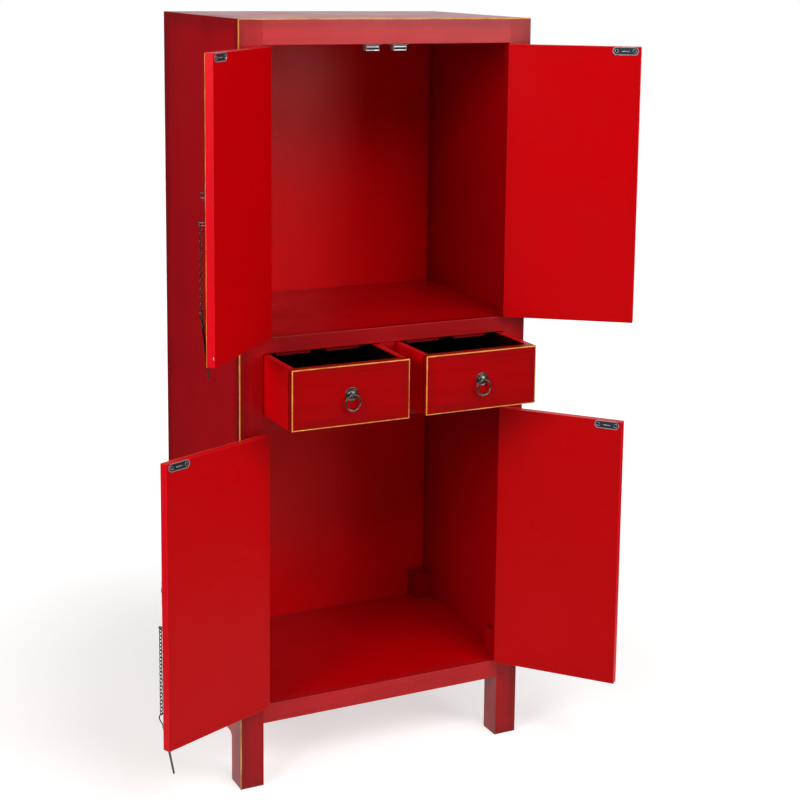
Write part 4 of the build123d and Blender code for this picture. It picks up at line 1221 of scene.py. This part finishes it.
# ======== drawers ========
@dataclass
class Drawer:
    """A drawer with its painted rim, turned pull plate and ring pull."""

    finishes: Finishes
    name: str
    side_thickness: float = 12.5 * MM
    front_thickness: float = 19.5 * MM
    pull_rise: float = 2.5 * MM
    pull_reach: float = 9.2 * MM
    ring_radius: float = 16 * MM
    ring_wire: float = 1.5 * MM
    ring_knot: float = 0.9 * MM  # how much thicker the knot at the ring's foot is
    ring_collar: float = 0.3 * MM  # the same for the collars beside it
    eye_radius: float = 2.75 * MM
    eye_wire: float = 0.95 * MM

    @property
    def pull_point(self) -> Vector:
        """The middle of the pull on the drawer's face."""
        low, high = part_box(f"{self.name}_drawer_front")
        return Vector(((low.x + high.x) / 2, low.y, (low.z + high.z) / 2 + self.pull_rise))

    def dress(self) -> None:
        """Lacquer the drawer: red outside, black inside."""
        low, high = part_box(f"{self.name}_drawer_front")
        box_low, box_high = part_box(f"{self.name}_drawer_sides")
        skin = 0.3 * MM
        inside_low = Vector((low.x + self.side_thickness - skin, low.y + self.front_thickness - skin,
                             box_low.z - skin))
        inside_high = Vector((high.x - self.side_thickness + skin, box_high.y + skin, high.z - 1.5 * MM))
        for part, grain in (("front", Grain.ACROSS), ("sides", Grain.DEEP)):
            node = f"{self.name}_drawer_{part}"
            board = Board.of_node(node)
            zone = Zone(inside_low - board.middle, inside_high - board.middle, "080405", plain=True)
            finish = self.finishes.drawer if part == "front" else self.finishes.drawer_side
            dress_node(node, finish.material(board, grain, [zone]))
        for part in ("back", "base"):
            node = f"{self.name}_drawer_{part}"
            dress_node(node, self.finishes.black.material(Board.of_node(node), Grain.DEEP))
        log.info("dressed %s drawer", self.name)

    def paint_rim(self) -> None:
        """Paint the gold line over the rounded front edges."""
        low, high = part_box(f"{self.name}_drawer_front")
        line = RimLine(low, high).build(f"{self.name}_drawer_gold_line", self.finishes.gold)
        fit(line, f"{self.name}_drawer")

    def fit_pull(self) -> None:
        """Turn the stepped pull plate with its eye, and forge the ring."""
        face = Matrix.Translation(self.pull_point) @ Matrix.Rotation(math.pi / 2, 4, "X")
        bm = bmesh.new()
        profile = [(0, -1), (1.5, -1), (1.5, 0), (14, 0), (14, 0.9), (13.6, 1.35), (12.9, 1.5), (12.2, 1.25),
                   (11.4, 0.95), (10.8, 1.0), (10.5, 1.6), (10.3, 2.5), (9.9, 2.95), (9.2, 3.05), (8.8, 3.0),
                   (8.4, 3.4), (7.6, 4.2), (6.4, 4.9), (4.8, 5.4), (2.6, 5.6), (2.2, 6.0), (2.0, 6.6),
                   (0, 6.8)]
        turn_profile(bm, [(radius * MM, height * MM) for radius, height in profile], face, steps=64)
        eye = self.pull_point - Vector((0, self.pull_reach, 0))
        points = arc(eye, Vector((0, 1, 0)), Vector((0, 0, 1)), self.eye_radius, 0, 345, 23)
        draw_wire(bm, points, [self.eye_wire] * len(points), sides=12, closed=True)
        plate = finished(bm, f"{self.name}_drawer_turned_pull", self.finishes.brass, smooth_angle=50)
        fit(plate, f"{self.name}_drawer", f"{self.name}_drawer_pull_plate")
        self.forge_ring(eye)

    def forge_ring(self, eye: Vector) -> None:
        """Forge the ring: thin where it runs in the eye, thicker towards the knot at its foot.

        Args:
            eye: The middle of the eye that it hangs in.
        """
        bm = bmesh.new()
        steps = 72
        centre = eye - Vector((0, 0, self.ring_radius))
        points = arc(centre, Vector((1, 0, 0)), Vector((0, 0, 1)), self.ring_radius, 90, 450 - 360 / steps,
                     steps - 1)
        radii = []
        for number in range(steps):
            away = abs(number / steps - 0.5) * 360  # degrees from the foot
            knot = self.ring_knot * math.exp(-((away / 9) ** 2))
            collar = self.ring_collar * math.exp(-(((away - 14) / 3) ** 2))
            radii.append(self.ring_wire * (0.9 + 0.5 * (1 - away / 180)) + knot + collar)
        draw_wire(bm, points, radii, sides=14, closed=True)
        ring = finished(bm, f"{self.name}_drawer_forged_ring", self.finishes.brass, smooth_angle=60)
        fit(ring, f"{self.name}_pull", f"{self.name}_drawer_pull_ring")


# ======== studio ========
@dataclass(frozen=True)
class SoftBox:
    """A square soft lamp that points at the cabinet."""

    name: str
    place: tuple[float, float, float]
    size: float
    power: float
    aim: tuple[float, float, float] = (0.0, -0.1, 0.85)

    def build(self) -> None:
        """Set up the lamp."""
        lamp = bpy.data.lights.new(self.name, "AREA")
        lamp.shape = "SQUARE"
        lamp.size = self.size
        lamp.energy = self.power
        holder = bpy.data.objects.new(self.name, lamp)
        bpy.context.scene.collection.objects.link(holder)
        holder.location = self.place
        holder.rotation_mode = "QUATERNION"
        holder.rotation_quaternion = (Vector(self.aim) - Vector(self.place)).to_track_quat("-Z", "Y")


@dataclass
class Studio:
    """A plain pale studio: floor, soft lamps, pale surroundings and the camera."""

    azimuth: float = -27.18
    elevation: float = 9.22
    roll: float = 0.83
    stand: tuple[float, float, float] = (-1.517, -3.377, 1.716)
    focal_px: float = 1712.0
    frame_px: float = 800.0
    axis_px: tuple[float, float] = (431.8, 238.9)
    sensor: float = 36.0
    room_light: float = 0.14  # the room's even light
    room_mirrored: float = 0.05  # how much of the dim room shows in reflections

    def set_camera(self) -> None:
        """Place the camera."""
        azimuth, elevation, roll = (math.radians(v) for v in (self.azimuth, self.elevation, self.roll))
        back = Vector((math.sin(azimuth) * math.cos(elevation), -math.cos(azimuth) * math.cos(elevation),
                       math.sin(elevation)))
        right = (-back).cross(Vector((0, 0, 1))).normalized()
        up = right.cross(-back)
        turned_right = right * math.cos(roll) + up * math.sin(roll)
        turned_up = up * math.cos(roll) - right * math.sin(roll)
        data = bpy.data.cameras.new("camera")
        data.sensor_width = self.sensor
        data.lens = self.focal_px / self.frame_px * self.sensor
        data.shift_x = 0.5 - self.axis_px[0] / self.frame_px
        data.shift_y = self.axis_px[1] / self.frame_px - 0.5
        data.clip_end = 60.0
        camera = bpy.data.objects.new("camera", data)
        bpy.context.scene.collection.objects.link(camera)
        place = Matrix((turned_right, turned_up, back)).transposed().to_4x4()
        place.translation = Vector(self.stand)
        camera.matrix_world = place
        bpy.context.scene.camera = camera

    def light(self) -> None:
        """Set up the lamps and the surroundings."""
        for lamp in (
            SoftBox("right_key", (1.9, -3.2, 2.05), 2.0, 64.0),
            SoftBox("high_key", (0.1, -3.5, 3.9), 1.7, 78.0),
            SoftBox("left_key", (-3.4, -1.9, 2.3), 1.8, 90.0),
        ):
            lamp.build()
        world = bpy.data.worlds.new("pale_studio")
        bpy.context.scene.world = world
        world.use_nodes = True
        tree = world.node_tree
        tree.nodes.clear()
        rays = add_node(tree, "ShaderNodeLightPath").outputs
        heading = add_node(tree, "ShaderNodeTexCoord").outputs["Generated"]
        # the white backdrop stands behind the cabinet and to its right, and the rest of the room is dim
        x, y, _ = axes(tree, heading)
        white = compute(tree, "MULTIPLY", remap(tree, x, -0.15, 0.4), remap(tree, y, -0.3, 0.3))
        white = compute(tree, "MAXIMUM", white, self.room_mirrored)
        seen = compute(tree, "MULTIPLY", rays["Is Glossy Ray"], white)
        for ray in ("Is Camera Ray", "Is Transmission Ray"):
            seen = compute(tree, "MAXIMUM", rays[ray], seen)
        dim, full, unlit = (
            add_node(tree, "ShaderNodeBackground", {"Color": (1, 1, 1, 1), "Strength": level}).outputs[0]
            for level in (self.room_light, 1.0, 0.0))
        room = add_node(tree, "ShaderNodeMixShader", {0: rays["Is Glossy Ray"], 1: dim, 2: unlit}).outputs[0]
        mixed = add_node(tree, "ShaderNodeMixShader", {0: seen, 1: room, 2: full}).outputs[0]
        add_node(tree, "ShaderNodeOutputWorld", {0: mixed})

    def lay_floor(self) -> None:
        """Lay the pale floor, which fades into the white surroundings and keeps the cabinet's shadow."""
        bm = bmesh.new()
        bmesh.ops.create_circle(bm, cap_ends=True, radius=14.0, segments=96)
        material, tree = new_material("pale_floor")
        away = add_node(tree, "ShaderNodeVectorMath", {0: object_point(tree)},
                        operation="LENGTH").outputs["Value"]
        rays = add_node(tree, "ShaderNodeLightPath").outputs
        shown = compute(tree, "MAXIMUM", rays["Is Camera Ray"], rays["Is Transmission Ray"])
        glow = compute(tree, "MULTIPLY", remap(tree, away, 0.45, 1.9, 0.6, 1.0, smooth=True), shown)
        matt = add_node(tree, "ShaderNodeBsdfDiffuse", {"Color": linear("D2D0CE")}).outputs[0]
        pale = add_node(tree, "ShaderNodeEmission", {"Color": (1, 1, 1, 1), "Strength": glow}).outputs[0]
        both = add_node(tree, "ShaderNodeAddShader", {0: matt, 1: pale}).outputs[0]
        # in reflections the floor is white round the cabinet's feet and falls off into the dim room
        white = remap(tree, away, 0.7, 1.6, 1.0, 0.03, smooth=True)
        mirrored = add_node(tree, "ShaderNodeEmission", {"Color": (1, 1, 1, 1), "Strength": white}).outputs[0]
        surface = add_node(tree, "ShaderNodeMixShader", {0: rays["Is Glossy Ray"], 1: both,
                                                         2: mirrored}).outputs[0]
        add_node(tree, "ShaderNodeOutputMaterial", {0: surface})
        floor = finished(bm, "studio_floor", material)


def build_doors(finishes: Finishes) -> None:
    """Build all four doors, and the chains on the left ones."""
    upper_base, upper_top = 963.5 * MM, 1546.5 * MM
    lower_base, lower_top = 180.5 * MM, 763.0 * MM
    for place in (
        DoorPlace("upper_left", -1, 134.2, upper_base, upper_top, chain_drop=25.5 * MM, chain_links=22,
                  chip_rise=18 * MM),
        DoorPlace("lower_left", -1, 157.0, lower_base, lower_top, chain_drop=48.0 * MM, chain_links=24),
        DoorPlace("upper_right", 1, 143.5, upper_base, upper_top),
        DoorPlace("lower_right", 1, 129.8, lower_base, lower_top),
    ):
        door = Door(finishes, place)
        door.dress()
        door.paint_line()
        door.fit_strike()
        door.fit_lock()
        if place.chain_links:
            LockChain(finishes, place).build()


def main() -> None:
    """Build the cabinet's looks and the studio round it."""
    bpy.context.scene.view_settings.view_transform = "Standard"
    finishes = Finishes()
    carcass = Carcass(finishes)
    carcass.dress()
    carcass.fit_catches()
    carcass.paint_lines()
    build_doors(finishes)
    for name in ("left", "right"):
        drawer = Drawer(finishes, name)
        drawer.dress()
        drawer.paint_rim()
        drawer.fit_pull()
    studio = Studio()
    studio.lay_floor()
    studio.light()
    studio.set_camera()


if __name__ == "__main__":
    main()
